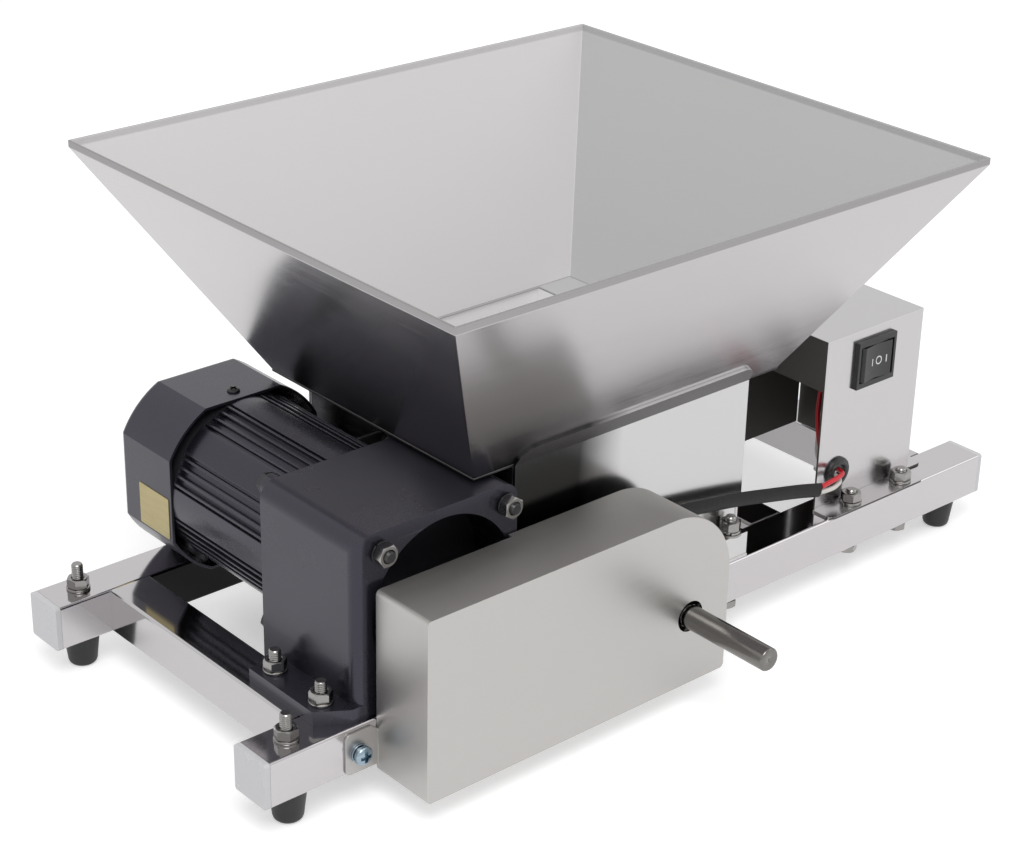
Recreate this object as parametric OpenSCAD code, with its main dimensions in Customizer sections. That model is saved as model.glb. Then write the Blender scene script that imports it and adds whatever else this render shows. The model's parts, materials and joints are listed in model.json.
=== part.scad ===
// Electric fruit crusher for home cider making: a four-sided hopper over a toothed roller,
// driven through a chain by a geared motor, on a low frame of square tube with rubber feet.
// X runs along the frame, Y from the chain side to the back, and Z up.
// The origin is on the bench, below the middle of the whole outline.
// Places are first given from the left end of the front rail's tube, its front face and its underside,
// and placed() then moves every piece to that origin.

/* [Frame] */
// Length of the front and back rails, with their end caps
rail_l = 498; // [484:1:522]
// Outer width of the square tube
tube = 24; // [23:0.5:26]
// Wall of the square tube
tube_wall = 1.5; // [1:0.1:2.5]
// Corner radius of the square tube
tube_r = 1.6; // [0.8:0.1:3]
// Thickness of an end cap's head
cap_t = 3; // [2:0.5:4]
// Length of an end cap's plug inside the tube
cap_plug_l = 6; // [4:1:6]
// Distance of the left cross rail from the left end
left_rail_x = 28.5; // [27:0.5:30]
// Distance of the cross rail below the gear casing from the left end
drive_rail_x = 124; // [120:1:126]
// Distance of the middle cross rail from the left end
middle_rail_x = 330; // [320:1:336]
// Distance of the right cross rail from the right end
right_rail_in = 26.5; // [26:0.5:28]

/* [Feet] */
// Height of a rubber foot
foot_h = 18; // [14:1:26]
// Diameter of a foot at the rail
foot_top_d = 18.5; // [16:0.5:21]
// Diameter of a foot at the bench
foot_low_d = 14.8; // [12:0.2:18]
// Distance of a foot's stud from the end cap's face
foot_end = 20.5; // [19:0.5:21]
// Height of the left feet's studs above the rails
foot_stud_out = 14; // [9:0.5:18]
// Reach of the right feet's studs past their nuts inside the rails
foot_stud_past = 1.5; // [0.5:0.5:4]
// Depth of the stud in the rubber
foot_stud_in = 10; // [6:1:13]

/* [Fasteners] */
// Thread of the frame's screws, studs and nuts
bolt_d = 6; // [5:0.5:7]
// Radial gap between a screw and its hole
hole_gap = 0.3; // [0.15:0.05:0.5]
// Radial gap between two pieces that fit into each other and don't turn
fit_gap = 0.1; // [0.05:0.05:0.2]
// Radial gap of a shaft that turns in its bore
run_gap = 0.05; // [0.03:0.01:0.1]
// Gap between two sheets that are joined face to face
seam_gap = 0.05; // [0.02:0.01:0.1]

/* [Gear casing] */
// Distance of the casing from the left end of the frame
casing_x = 50.3; // [49:0.1:52]
// Set-back of the casing from the frame's front
casing_y = 3.3; // [2.5:0.1:4]
// Width of the casing
casing_w = 95.1; // [94:0.1:96]
// Depth of the casing
casing_d = 71.5; // [68:0.5:76]
// Height of the casing above the rails
casing_h = 93.5; // [93:0.1:94]
// Distance of the motor axis from the casing's left side
axis_in = 51.1; // [50.5:0.1:51.5]
// Height of the motor axis above the rails
axis_h = 46.5; // [46:0.1:47]
// Diameter of the round opening in the casing's front
casing_bore_d = 83; // [80:0.5:84]
// Thickness of the casing's back wall
casing_back_t = 6; // [4:0.5:8]
// Spacing of the four long screws, along and up
screw_square = 73.5; // [73:0.1:74.5]
// Radius of the casing's long upper edges
casing_edge_r = 9; // [5:0.5:10]
// Radius of the casing's upright front edge
casing_front_r = 6; // [3:0.5:8]
// Thickness of the casing's foot
foot_plate_t = 7; // [5:0.5:8]
// Length of the foot beside the casing
foot_plate_out = 17.3; // [16:0.1:19]
// Depth of the foot from front to back
foot_plate_d = 59.1; // [56:0.1:62]
// Size of the slanted cut on the foot's front corner, along and back
foot_chamfer = [15.4, 9.6];
// Length of the foot hidden at the casing's other side
foot_plate_hidden = 3; // [2:0.5:3.5]
// Distance of the foot's outer studs from its outer edge
foot_bolt_in = 8.5; // [8:0.1:9.5]
// Distance of the front stud from the foot's front edge
foot_bolt_front = 14.6; // [13:0.1:15]
// Spacing of the foot's studs from front to back
foot_bolt_pitch = 35.5; // [34:0.5:37]
// Height of the foot's studs above the foot
foot_bolt_out = 11.5; // [9:0.5:14]
// Reach of the hidden base screws into the casing
base_bolt_in = 5; // [4:0.5:6]
// Reach of the front nuts' screws past the casing
screw_out = 8; // [7:0.5:10]
// Length of the motor's lugs between the casing and the long screws' heads
lug_l = 11.5; // [8:0.5:12]
// Radius of those lugs
lug_r = 6.2; // [5.5:0.1:6.5]
// Distance of the lower screws' ends from the casing's front
screw_stop = 8; // [5:0.5:12]

/* [Gearhead] */
// Depth of the gearhead's face inside the casing's opening
gearhead_in = 26; // [20:1:32]
// Drop of the output shaft below the motor axis
output_drop = 18; // [17:0.5:19]
// Diameter of the gearhead's boss round the output shaft
boss_d = 34; // [26:1:36]
// Length of that boss
boss_l = 16; // [10:1:18]
// Diameter of the output shaft
output_d = 12; // [10:0.5:14]
// Length of the output shaft inside the gearhead
output_seat_l = 26; // [20:1:34]

/* [Motor] */
// Diameter over the motor's cooling ribs
motor_d = 89; // [87:0.5:89.5]
// Length of the ribbed body
motor_l = 85; // [83:0.5:86]
// Height of a cooling rib
rib_h = 2.4; // [1.5:0.1:3]
// Thickness of a cooling rib
rib_t = 1.4; // [1:0.1:1.8]
// Angle between two neighbouring ribs
rib_step = 6; // [5.5:0.25:6.5]
// Half of the angle that a smooth band between the ribs takes
band_lean = 10.5; // [8:0.5:11]
// Set-back of those smooth bands from the ribs' tips
band_drop = 0.3; // [0:0.1:1]
// Wall of the motor body below its ribs
motor_wall = 4.5; // [3:0.5:6]
// Thickness of the motor's front wall
motor_front_t = 8; // [6:0.5:10]
// Diameter of the motor's spigot in the casing's back wall
spigot_d = 50; // [44:1:56]
// Diameter of the rotor's shaft
rotor_shaft_d = 10; // [8:0.5:12]
// Air gap between rotor and stator
air_gap = 0.5; // [0.3:0.1:1]
// Outer diameter of the rotor
rotor_d = 46; // [40:1:52]
// Thickness of the motor's rear bell
bell_t = 14; // [12:0.5:15]
// Width of the fan cover over its flats
fan_cover_w = 90; // [88.5:0.5:91]
// Diameter of the fan cover over its corners
fan_cover_d = 100.8; // [98:0.2:102]
// Length of the fan cover
fan_cover_l = 44.5; // [42:0.5:46]
// Radius of the fan cover's back edge
fan_cover_r = 4; // [2:0.5:6]
// Sheet of the fan cover
fan_cover_t = 1.5; // [1:0.1:2]
// Diameter of the cooling fan
fan_d = 78; // [70:1:82]
// Number of fan blades
fan_blades = 8; // [6:2:12]
// Width of the cooling fan along its axis
fan_t = 11; // [8:0.5:13]
// Gap between the rear bell and the cooling fan
fan_gap = 3; // [2:0.5:4]
// Thread of the fan cover's screws
fan_screw_d = 3; // [2.5:0.5:4]
// Distance of the fan cover's screws from the motor body's end
fan_screw_in = 9; // [6:0.5:10]
// Space between the stator and the motor's end walls
stator_gap = 8; // [6:0.5:12]
// Length of the rear bell's lip inside the motor body
bell_lip = 5; // [3:0.5:6]
// Length of the rotor shaft's end inside the gearhead
rotor_seat_l = 10; // [8:0.5:11]
// Length and height of the rating plate
rating_size = [26, 22.5];
// Distance of the rating plate from the fan cover's front edge
rating_in = 2.2; // [1:0.1:4]
// Thickness of the rating plate
rating_t = 0.4; // [0.2:0.1:0.8]
// Drop of the rating plate's lower edge below the motor axis
rating_drop = 21.5; // [20.5:0.5:22]
// Diameter of the gland on the motor body
gland_d = 12; // [10:0.5:13]
// Diameter of a vent hole in the fan cover
vent_d = 5; // [3:0.5:6]
// Rings of vent holes
vent_rings = 3; // [1:1:3]
// Distance between two rings of vent holes
vent_step = 11; // [8:0.5:12]

/* [Chain drive] */
// Pitch of the chain
pitch = 9.525; // [9.4:0.025:9.6]
// Diameter of the chain's rollers
roller_d = 6.35; // [6:0.05:6.5]
// Width between the chain's inner plates
chain_in_w = 5.7; // [5.4:0.1:6]
// Thickness of a side plate of the chain
chain_plate_t = 2.4; // [2:0.1:2.8]
// Height of a side plate of the chain
chain_plate_h = 8.2; // [7.8:0.1:8.4]
// Gap between a sprocket and the side plates
side_play = 0.25; // [0.15:0.05:0.35]
// Gap between a roller and its seat in the sprocket
seat_gap = 0.2; // [0.1:0.05:0.3]
// Height of the sprocket's teeth over the middle of the rollers
tip_h = 1.9; // [1.5:0.1:2.2]
// Lean of the teeth's flanks, as a share of their height
flank_lean = 0.6; // [0.55:0.01:0.65]
// Length of the output shaft in front of its sprocket
output_tip = 3; // [1:0.5:6]
// Diameter of a sprocket's hub
hub_d = 24; // [18:1:25]
// Length of a sprocket's hub behind its teeth
hub_l = 7; // [5:0.5:8]

/* [Crusher box] */
// Distance of the crusher box from the left end of the frame
box_x = 151; // [150.5:0.1:151.5]
// Length of the crusher box
box_l = 157; // [154:0.5:160]
// Set-back of the crusher box from the frame's front
box_y = 11.8; // [11.4:0.1:12.2]
// Depth of the crusher box
box_w = 161.4; // [158:0.2:162]
// Height of the crusher box above the rails
box_h = 95.5; // [95.2:0.1:97]
// Gap between the crusher box and the back rail
back_rail_gap = 2.8; // [2.4:0.1:6]
// Sheet of the crusher box
box_t = 1.5; // [1:0.1:2]
// Height of the strips that lean on the hopper
strip_h = 12; // [8:0.5:16]
// Radius of the strips' ends
strip_r = 10; // [5:0.5:11]
// Size of the notch in the plates' lower corner, along and up
plate_notch = [4.3, 25];
// Radius of the corner above that notch
notch_r = 3; // [1:0.5:4]

/* [Roller] */
// Diameter of the crank shaft
shaft_d = 12; // [11:0.5:12.5]
// Height of the crank shaft's axis above the rails
shaft_h = 10; // [9.8:0.1:11]
// Length of the crank shaft in front of the chain cover
shaft_out = 52.8; // [40:0.5:70]
// Length of the crank shaft behind the back bearing
shaft_back = 4; // [2:0.5:8]
// Chamfer on the ends of the crank shaft
shaft_chamfer = 0.8; // [0.4:0.1:1.5]
// Width of the ring groove in the crank shaft, in the cover's hole
groove_w = 1.1; // [0.9:0.1:1.2]
// Depth of that groove
groove_h = 0.5; // [0.3:0.1:0.8]
// Diameter of the roller's drum
drum_d = 60; // [52:1:64]
// Height of the roller's teeth
tooth_h = 8; // [5:0.5:9]
// Size of a roller tooth, round the drum and along it
tooth_size = [6, 12];
// Rows of teeth round the drum
tooth_rows = 8; // [4:4:12]
// Teeth in a row
tooth_count = 6; // [4:1:7]
// Gap between the drum and the rails
drum_gap = 3; // [2:0.5:5]
// Gap between the drum and the back plate
drum_play = 1.7; // [1:0.1:3]
// Gap between the teeth and the plates beside the roller
crush_gap = 6; // [4:0.5:8]
// Gap between those plates and the end plates
guide_gap = 0.3; // [0.1:0.1:1]
// Thickness of the plates beside the roller
guide_t = 3; // [2:0.5:4]
// Drop of the side plates' upper edge below the top of the box
guide_drop = 12; // [8:1:20]

/* [Bearings] */
// Width of a bearing bar from front to back
bar_w = 10; // [9:0.5:10.5]
// Height of a bearing bar
bar_h = 12.5; // [11:0.5:13]
// Gap between a bearing bar and its plate
bar_gap = 0.3; // [0.1:0.1:0.6]
// Distance of the bar's ends from the outline of the box
bar_end = 4.5; // [3:0.5:6]
// Diameter of the bar's hub round the shaft
bar_hub_d = 24; // [20:0.5:26]
// Outer diameter of a bronze bush
bush_d = 15; // [14.5:0.1:15.4]
// Distance of the bar's screws from its ends
bar_bolt_in = 9; // [8:0.5:12]
// Shift of the bar's screws from its middle away from the crusher box
bar_bolt_shift = 1; // [1:0.1:1.5]
// Height of the bar's screws above the bar
bar_bolt_out = 10.5; // [8.5:0.5:14]

/* [Hopper] */
// Shift of the hopper to the left of the crusher box's middle
hopper_left = 0.65; // [0:0.05:1.5]
// Shift of the hopper's mouth behind the crusher box's middle
hopper_back = 1.25; // [0:0.05:3]
// Length of the hopper's mouth
hopper_top_l = 340.3; // [320:0.5:360]
// Width of the hopper's mouth
hopper_top_w = 295.3; // [280:0.5:310]
// Length of the hopper's lower end
hopper_low_l = 203.9; // [198:0.5:210]
// Height of the hopper, with its upright rim
hopper_h = 116.5; // [100:0.5:130]
// Height of the upright rim
rim_h = 3.6; // [2:0.2:8]
// Sheet of the hopper
hopper_t = 1.2; // [0.8:0.1:1.6]
// Width of the bottom strips in front of and behind the throat
throat_edge = 1.6; // [1.2:0.1:3]

/* [Chain cover] */
// Distance of the cover from the left end of the frame
cover_x = 59.3; // [57:0.1:60]
// Reach of the cover past the crank shaft's axis
cover_past = 25.7; // [25.2:0.1:28]
// Depth of the cover
cover_d = 37; // [35:0.5:40]
// Height of the cover
cover_h = 95.3; // [93:0.1:98]
// Drop of the cover's lower edge below the rail
cover_drop = 4.3; // [3:0.1:6]
// Sheet of the cover
cover_t = 1.2; // [0.8:0.1:1.5]
// Radius of the cover's wide upper corner
cover_big_r = 40; // [32:1:44]
// Radius of the cover's other corners
cover_small_r = 2.5; // [1.5:0.5:4]
// Diameter of the cover's hole for the crank shaft
cover_hole_d = 16.3; // [15:0.1:18]
// Depth of the edge that reaches back beside the gear casing
cover_lip = 2.7; // [1.5:0.1:3]
// Length and height of the outer tab on the rail
tab_size = [18.5, 21.8];
// Slanted cut at the outer tab's fold, along and down
tab_relief = [4.4, 3.6];
// Radius of the outer tab's corners
tab_r = 3; // [1:0.5:4]
// Distance of the outer tab's screw from the cover
tab_screw_in = 10.9; // [10:0.1:11.5]
// Height of both tabs' lower edge above the rail's underside
tab_low = 0.2; // [0:0.1:1]
// Height of both tab screws above the rail's underside
tab_screw_h = 10.5; // [9:0.5:12]
// Length of the inner tab
inner_tab_l = 16; // [14:1:18]
// Thread of the tab screws
tab_screw_d = 5; // [4:0.5:5]

/* [Switch box] */
// Distance of the switch box from the right end of the frame
sbox_end = 49.4; // [49:0.1:50]
// Share of the rail from the hopper's lower end to the switch box's right side that the box takes up
sbox_share = 0.667; // [0.65:0.001:0.68]
// Set-back of the switch box from the frame's front
sbox_y = 13.4; // [13:0.1:15]
// Depth of the switch box
sbox_d = 82; // [78:0.5:90]
// Height of the switch box above the rails
sbox_h = 98.4; // [94:0.1:104]
// Sheet of the switch box
sbox_t = 1.2; // [1:0.1:1.5]
// Overhang of the front flange past the rail
flange_over = 1; // [0.5:0.1:1.5]
// Width of the flange on the right cross rail
side_flange_w = 13; // [12.8:0.2:16]
// Set-back of that flange from the box's front
side_flange_back = 0.5; // [0.2:0.1:2]
// Corner radius of the flanges
flange_r = 4; // [2:0.5:6]
// Shift of the front flange to the left of the box
flange_shift = 2.5; // [0:0.5:4]
// Height of the flap at the box's open left side
flap_h = 29; // [24:0.5:40]
// Slit between the back panel and the right wall
slit = 2; // [1:0.25:3]
// Places of the front flange's screws from the box's left side, as shares of the box's length
sbox_bolts = [0.274, 0.81];
// Places of the side flange's screws behind the box's front
sbox_side_bolts = [20, 66];
// Distance of those screws from the box's right side
side_bolt_in = 6.6; // [6.4:0.1:7]
// Length of the flange screws above the flange
sbox_bolt_out = 8; // [7:0.5:12]

/* [Switch] */
// Shift of the switch's middle to the left of the box's middle
switch_shift = 0.3; // [0:0.1:3]
// Drop of the switch's middle below the box's top
switch_drop = 19.9; // [18.5:0.1:22]
// Length and height of the switch's frame
bezel_size = [30, 27];
// Thickness of the switch's frame
bezel_t = 2.5; // [2:0.1:3]
// Depth of the switch's housing behind the panel
housing_d = 20; // [16:1:24]
// Wall of the switch's housing
housing_wall = 0.8; // [0.6:0.1:1]
// Gap round the rocker inside its housing
rocker_gap = 0.3; // [0.2:0.1:0.5]
// Height of the rocker
rocker_h = 20; // [18:0.5:21]
// Radius of the rocker's ends about its pivot
rocker_r = 13.4; // [13:0.1:13.5]
// Depth of the rocker's pivot behind the panel's face
pivot_in = 5; // [4.5:0.1:6]
// Rise of the rocker's ends over its middle
rocker_rise = 1.8; // [1.2:0.1:2.5]
// Diameter of the rocker's pivot
pivot_d = 3; // [2.5:0.1:3.5]
// Length of the switch's terminals
terminal_l = 9; // [6:0.5:12]

/* [Cable] */
// Distance of the grommet from the box's left side
grommet_in = 15.5; // [14:0.5:20]
// Height of the grommet above the rails
grommet_h = 18.4; // [17:0.1:22]
// Outer diameter of the grommet
grommet_d = 17.5; // [15:0.5:19]
// Diameter of the grommet's neck in the panel
grommet_neck_d = 13; // [11:0.5:13.5]
// Bore of the grommet
grommet_bore_d = 9; // [8:0.5:9.5]
// Thickness of the grommet's outer flange
grommet_t = 3; // [2:0.5:4]
// Height and thickness of the flat sleeve round the lead
sleeve_size = [8, 3];
// Diameter of a lead wire
wire_d = 2.6; // [2:0.1:2.8]

/* [Hidden] */
$fn = 48;
// Counts that keep the chain even and alike at every quarter turn of the roller
teeth = 12;
links = 38;

// Overshoot of a cut past the faces it opens
eps = 1;

// Levels and walls that the sizes above fix
rail_top = tube;
fold_z = rail_top + box_h;
box_back_y = box_y + box_w;
back_rail_y = box_back_y + back_rail_gap;
frame_w = back_rail_y + tube;
// Faces of the end caps at the frame's left and right end
left_end_x = -cap_t;
right_end_x = rail_l - cap_t;
right_rail_x = right_end_x - right_rail_in - tube;
box_mid_x = box_x + box_l / 2;
inner_y0 = box_y + box_t;
inner_y1 = box_back_y - box_t;
// Reach of an end plate's flange past its bearing bar
flange_edge = 0.5;

// Axes of the motor, the gearhead's output and the crank shaft
axis_x = casing_x + axis_in;
axis_z = rail_top + axis_h;
output_z = axis_z - output_drop;
shaft_z = rail_top + shaft_h;
pitch_r = pitch / (2 * sin(180 / teeth));
centre_distance = (links - teeth) / 2 * pitch;
shaft_x = axis_x + sqrt(pow(centre_distance, 2) - pow(output_z - shaft_z, 2));
chain_lean = atan2(shaft_z - output_z, shaft_x - axis_x);

// Ends of the chain drive and of the crank shaft
casing_back_y = casing_y + casing_d;
cover_front_y = -cover_d;
sprocket_y = -cover_d / 2;
sprocket_w = chain_in_w - 2 * side_play;
cover_l = shaft_x + cover_past - cover_x;
shaft_tip_y = cover_front_y - shaft_out;
front_bar_y = box_y - bar_gap - bar_w;
back_bar_y = back_rail_y + tube_wall;
shaft_end_y = back_bar_y + bar_w + shaft_back;
bar_z = rail_top + box_t;
bar_x = box_x + 1;
bar_l = box_l - 1 - bar_end;

// Hopper rectangles, as low x, high x, low y, high y
hopper_mid_x = box_mid_x - hopper_left;
hopper_mid_y = box_y + box_w / 2 + hopper_back;
hopper_low = [
    hopper_mid_x - hopper_low_l / 2, hopper_mid_x + hopper_low_l / 2, inner_y0 + seam_gap, inner_y1 - seam_gap
];
hopper_top = [
    hopper_mid_x - hopper_top_l / 2, hopper_mid_x + hopper_top_l / 2,
    hopper_mid_y - hopper_top_w / 2, hopper_mid_y + hopper_top_w / 2
];
hopper_top_z = fold_z + hopper_h;
rim_z = hopper_top_z - rim_h;
front_lean = atan2(hopper_low[2] - hopper_top[2], rim_z - fold_z);
back_lean = atan2(hopper_top[3] - hopper_low[3], rim_z - fold_z);

// Switch box between the hopper and the frame's right end
sbox_end_x = right_end_x - sbox_end;
sbox_l = sbox_share * (sbox_end_x - hopper_low[1]);
sbox_x = sbox_end_x - sbox_l;

// Screws, nuts and washers of the frame's thread
hole_d = bolt_d + 2 * hole_gap;

// Places of the upright screws through the frame
foot_rows = [tube / 2, frame_w - tube / 2];
left_feet = [for (y = foot_rows) [left_end_x + foot_end, y]];
right_feet = [for (y = foot_rows) [right_end_x - foot_end, y]];
foot_plate_x = casing_x - foot_plate_out;
foot_plate_y = casing_y + 0.1;
foot_bolt_y = foot_plate_y + foot_bolt_front;
foot_bolt_places = [for (i = [0, 1]) [foot_plate_x + foot_bolt_in, foot_bolt_y + i * foot_bolt_pitch]];
base_bolt_places = [for (i = [0, 1]) [drive_rail_x + tube / 2, foot_bolt_y + i * foot_bolt_pitch]];
front_bar_bolts = [
    for (x = [bar_x + bar_bolt_in, bar_x + bar_l - bar_bolt_in]) [x, front_bar_y + bar_w / 2 - bar_bolt_shift]
];
back_bar_bolts = [for (p = front_bar_bolts) [p[0], back_bar_y + bar_w / 2 + bar_bolt_shift]];
sbox_bolt_y = (sbox_y - flange_over) / 2;
sbox_bolt_places = [for (x = sbox_bolts) [sbox_x + x * sbox_l, sbox_bolt_y]];
sbox_side_bolt_places = [for (y = sbox_side_bolts) [sbox_end_x + side_bolt_in, sbox_y + y]];

// Motor and fan cover along Y
motor_end_y = casing_back_y + motor_l;
bell_y = motor_end_y;
fan_cover_y = motor_end_y + 0.3;
fan_y = bell_y + bell_t + fan_gap;
bell_d = fan_cover_w - 2 * fan_cover_t - 2 * fit_gap;
stator_y = casing_back_y + motor_front_t + stator_gap;
stator_l = motor_l - motor_front_t - 2 * stator_gap;

// Cover levels
cover_end_x = cover_x + cover_l;
cover_top_z = cover_h - cover_drop;

// Switch box walls
sbox_back_y = sbox_y + sbox_d;
sbox_top_z = rail_top + sbox_h;
switch_x = sbox_x + sbox_l / 2 - switch_shift;
switch_z = sbox_top_z - switch_drop;
pivot_y = sbox_y + pivot_in;
housing_w = 2 * (rocker_r + rocker_gap + housing_wall);
housing_h = rocker_h + 2 * (rocker_gap + housing_wall) + 0.4;
grommet_x = sbox_x + grommet_in;
grommet_z = rail_top + grommet_h;

// Route of the flat sleeve: along the rail as shares of the way from the grommet to the crusher box's corner,
// then round that corner to the motor's gland
sleeve_out = 23.5;
sleeve_corner_x = 168;
sleeve_start_x = grommet_x - sleeve_out;
sleeve_route = concat(
    [for (p = [
        [1, 4, 42.5], [0.917, 4.5, 46.5], [0.808, 5, 51], [0.684, 5.5, 56], [0.565, 5.5, 60],
        [0.425, 6, 64], [0.269, 6.5, 68], [0.114, 6.5, 72], [0, 6.5, 76]
    ]) [sleeve_corner_x + p[0] * (sleeve_start_x - sleeve_corner_x), p[1], p[2]]],
    [
        [157, 7, 78], [150, 9.5, 80], [148.2, 15, 82], [148.2, 25, 85], [148.2, 45, 91], [148.2, 65, 97],
        [148, 80, 100.5], [147.4, 89, 102], [145.2, 95.5, 102], [142, 97.7, 102], [139.5, 98, 102]
    ]
);
// Routes of the two wires: shares of the way from the grommet to the switch, then offsets towards the sleeve
function in_box(route) = [for (p = route) [grommet_x + p[0] * (switch_x - grommet_x), p[1], p[2]]];
function out_of_box(route) = [for (p = route) [grommet_x + p[0], p[1], p[2]]];
red_route = concat(
    in_box([[0.78, 37, 93], [0.64, 40, 84], [0.38, 37, 66], [0.155, 29, 50], [0.067, 20, 44]]),
    out_of_box([[1, 13, 43.5], [-2.5, 7, 44.5], [-9.5, 4.5, 45], [-17.5, 4, 44.5], [-22.3, 4, 44.1]])
);
white_route = concat(
    in_box([[1.22, 37, 93], [1.04, 41, 82], [0.6, 38, 62], [0.11, 30, 47], [-0.06, 20, 41.5]]),
    out_of_box([
        [-1.7, 13.5, 41.1], [-2.3, 9.5, 40.9], [-5.3, 6.3, 40.4],
        [-11.5, 4.5, 40], [-17.5, 4, 40.4], [-23.2, 4, 41]
    ])
);
sleeve_end = sleeve_route[len(sleeve_route) - 1];

// Moves a piece from the front rail's left end to the origin
module placed() {
    translate([-(left_end_x + right_end_x) / 2, -(shaft_tip_y + hopper_top[3]) / 2, foot_h]) children();
}

// Rectangle with four round corners, drawn with true arcs
module rounded_rect(w, h, r) {
    translate([r, 0]) square([w - 2 * r, h]);
    translate([0, r]) square([w, h - 2 * r]);
    for (x = [r, w - r], y = [r, h - r]) translate([x, y]) circle(r);
}

// Extrudes a profile in Y and Z along X
module along_x(l) rotate([90, 0, 90]) linear_extrude(l) children();

// Extrudes a profile in X and Z along Y
module along_y(l) translate([0, l, 0]) rotate([90, 0, 0]) linear_extrude(l) children();

// Round bar along Y
module rod_y(d, l) rotate([-90, 0, 0]) cylinder(d = d, h = l);

// Round bar along X
module rod_x(d, l) rotate([0, 90, 0]) cylinder(d = d, h = l);

// Cross-section of the square tube
module tube_profile() difference() {
    rounded_rect(tube, tube, tube_r);
    translate([tube_wall, tube_wall]) square(tube - 2 * tube_wall);
}

// Upright holes through a rail at the given places
module upright_holes(places) {
    for (p = places) translate([p[0], p[1], -eps]) cylinder(d = hole_d, h = tube + 2 * eps);
}

module washer(d) difference() {
    cylinder(d = 2 * d, h = d / 4);
    translate([0, 0, -eps]) cylinder(d = d + 2 * fit_gap, h = d / 4 + 2 * eps);
}

function nut_h(d) = d * 5 / 6;
module nut(d) difference() {
    cylinder(d = d * 5 / 3 / cos(30), h = nut_h(d), $fn = 6);
    translate([0, 0, -eps]) cylinder(d = d + 2 * fit_gap, h = nut_h(d) + 2 * eps);
}

// Nut on a pile of washers, standing at z = 0
module nut_on_washers(d, washers) {
    for (i = [0:1:washers - 1]) translate([0, 0, i * d / 4]) washer(d);
    translate([0, 0, washers * d / 4]) nut(d);
}

// Hexagon screw with its head below z = 0 and its shank up to the given height
module hex_bolt(d, l) {
    translate([0, 0, -d * 2 / 3]) cylinder(d = d * 5 / 3 / cos(30), h = d * 2 / 3, $fn = 6);
    translate([0, 0, -d / 3]) cylinder(d = d, h = l + d / 3);
}

// Frustum between two rectangles, each given as low x, high x, low y, high y
function corners(r, z) = [[r[0], r[2], z], [r[1], r[2], z], [r[1], r[3], z], [r[0], r[3], z]];
function grow(r, d) = [r[0] - d, r[1] + d, r[2] - d, r[3] + d];
module frustum(low, high, z0, z1) polyhedron(
    points = concat(corners(low, z0), corners(high, z1)),
    faces = [[0, 1, 2, 3], [7, 6, 5, 4], [0, 4, 5, 1], [1, 5, 6, 2], [2, 6, 7, 3], [3, 7, 4, 0]]
);

// Smooth curve through the points of a route, with a given number of steps between two points
function at(route, i) = route[max(0, min(len(route) - 1, i))];
function blend(a, b, c, d, t) =
    0.5 * (2 * b + (c - a) * t + (2 * a - 5 * b + 4 * c - d) * t * t + (3 * b - a - 3 * c + d) * t * t * t);
function smooth(route, steps) = concat(
    [for (i = [0:len(route) - 2], k = [0:steps - 1])
        blend(at(route, i - 1), at(route, i), at(route, i + 1), at(route, i + 2), k / steps)],
    [route[len(route) - 1]]
);
function unit(v) = v / norm(v);

// Tube of the given height and thickness swept along a curve
module swept_tube(curve, high, thick, sides) {
    n = len(curve);
    function heading(i) = unit(at(curve, i + 1) - at(curve, i - 1));
    function side(i) = unit(cross(heading(i), [0, 0, 1]));
    function upward(i) = cross(side(i), heading(i));
    rings = [for (i = [0:n - 1], k = [0:sides - 1])
        curve[i] + side(i) * thick / 2 * cos(360 * k / sides) + upward(i) * high / 2 * sin(360 * k / sides)];
    walls = [for (i = [0:n - 2], k = [0:sides - 1], h = [0, 1])
        let (a = i * sides + k, b = i * sides + (k + 1) % sides)
        h == 0 ? [a, b, b + sides] : [a, b + sides, a + sides]];
    start = [[for (k = [sides - 1:-1:0]) k]];
    end = [[for (k = [0:sides - 1]) (n - 1) * sides + k]];
    polyhedron(points = rings, faces = concat(start, walls, end));
}

// Frame

// Long rail between its end caps, with a foot at each end and its other upright holes
module long_rail(y, row, places) difference() {
    translate([0, y, 0]) along_x(rail_l - 2 * cap_t) tube_profile();
    upright_holes(concat([left_feet[row]], places));
    translate([right_feet[row][0], right_feet[row][1], -eps]) cylinder(d = hole_d, h = tube_wall + 2 * eps);
}

// Holes in the front rail's face for the chain cover's tab screws
tab_screw_places = [cover_x - tab_screw_in, cover_end_x - cover_t - inner_tab_l / 2];

module front_rail() color("gainsboro") placed() difference() {
    long_rail(0, 0, concat(
        [foot_bolt_places[0]], [base_bolt_places[0]], front_bar_bolts, sbox_bolt_places
    ));
    for (x = tab_screw_places) {
        translate([x, -eps, tab_screw_h]) rod_y(tab_screw_d + 2 * hole_gap, tube_wall + 2 * eps);
    }
}

module back_rail() color("gainsboro") placed() long_rail(back_rail_y, 1, back_bar_bolts);

// Cross rail between the long rails, with its upright holes
module cross_rail(x, places) color("gainsboro") placed() difference() {
    translate([x, tube, 0]) along_y(frame_w - 2 * tube) tube_profile();
    upright_holes(places);
}

module left_cross_rail() cross_rail(left_rail_x, [foot_bolt_places[1]]);
module drive_cross_rail() cross_rail(drive_rail_x, [base_bolt_places[1]]);
module middle_cross_rail() cross_rail(middle_rail_x, []);
module right_cross_rail() cross_rail(right_rail_x, sbox_side_bolt_places);

// End cap with its head on the left of x = 0 and its plug on the right
module end_cap() {
    bore = tube - 2 * tube_wall;
    plug_w = bore - 2 * fit_gap;
    translate([-cap_t, 0, 0]) along_x(cap_t) rounded_rect(tube, tube, tube_r);
    translate([-cap_t / 2, tube_wall + fit_gap, tube_wall + fit_gap]) {
        cube([cap_t / 2 + cap_plug_l, plug_w, plug_w]);
    }
}

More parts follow.
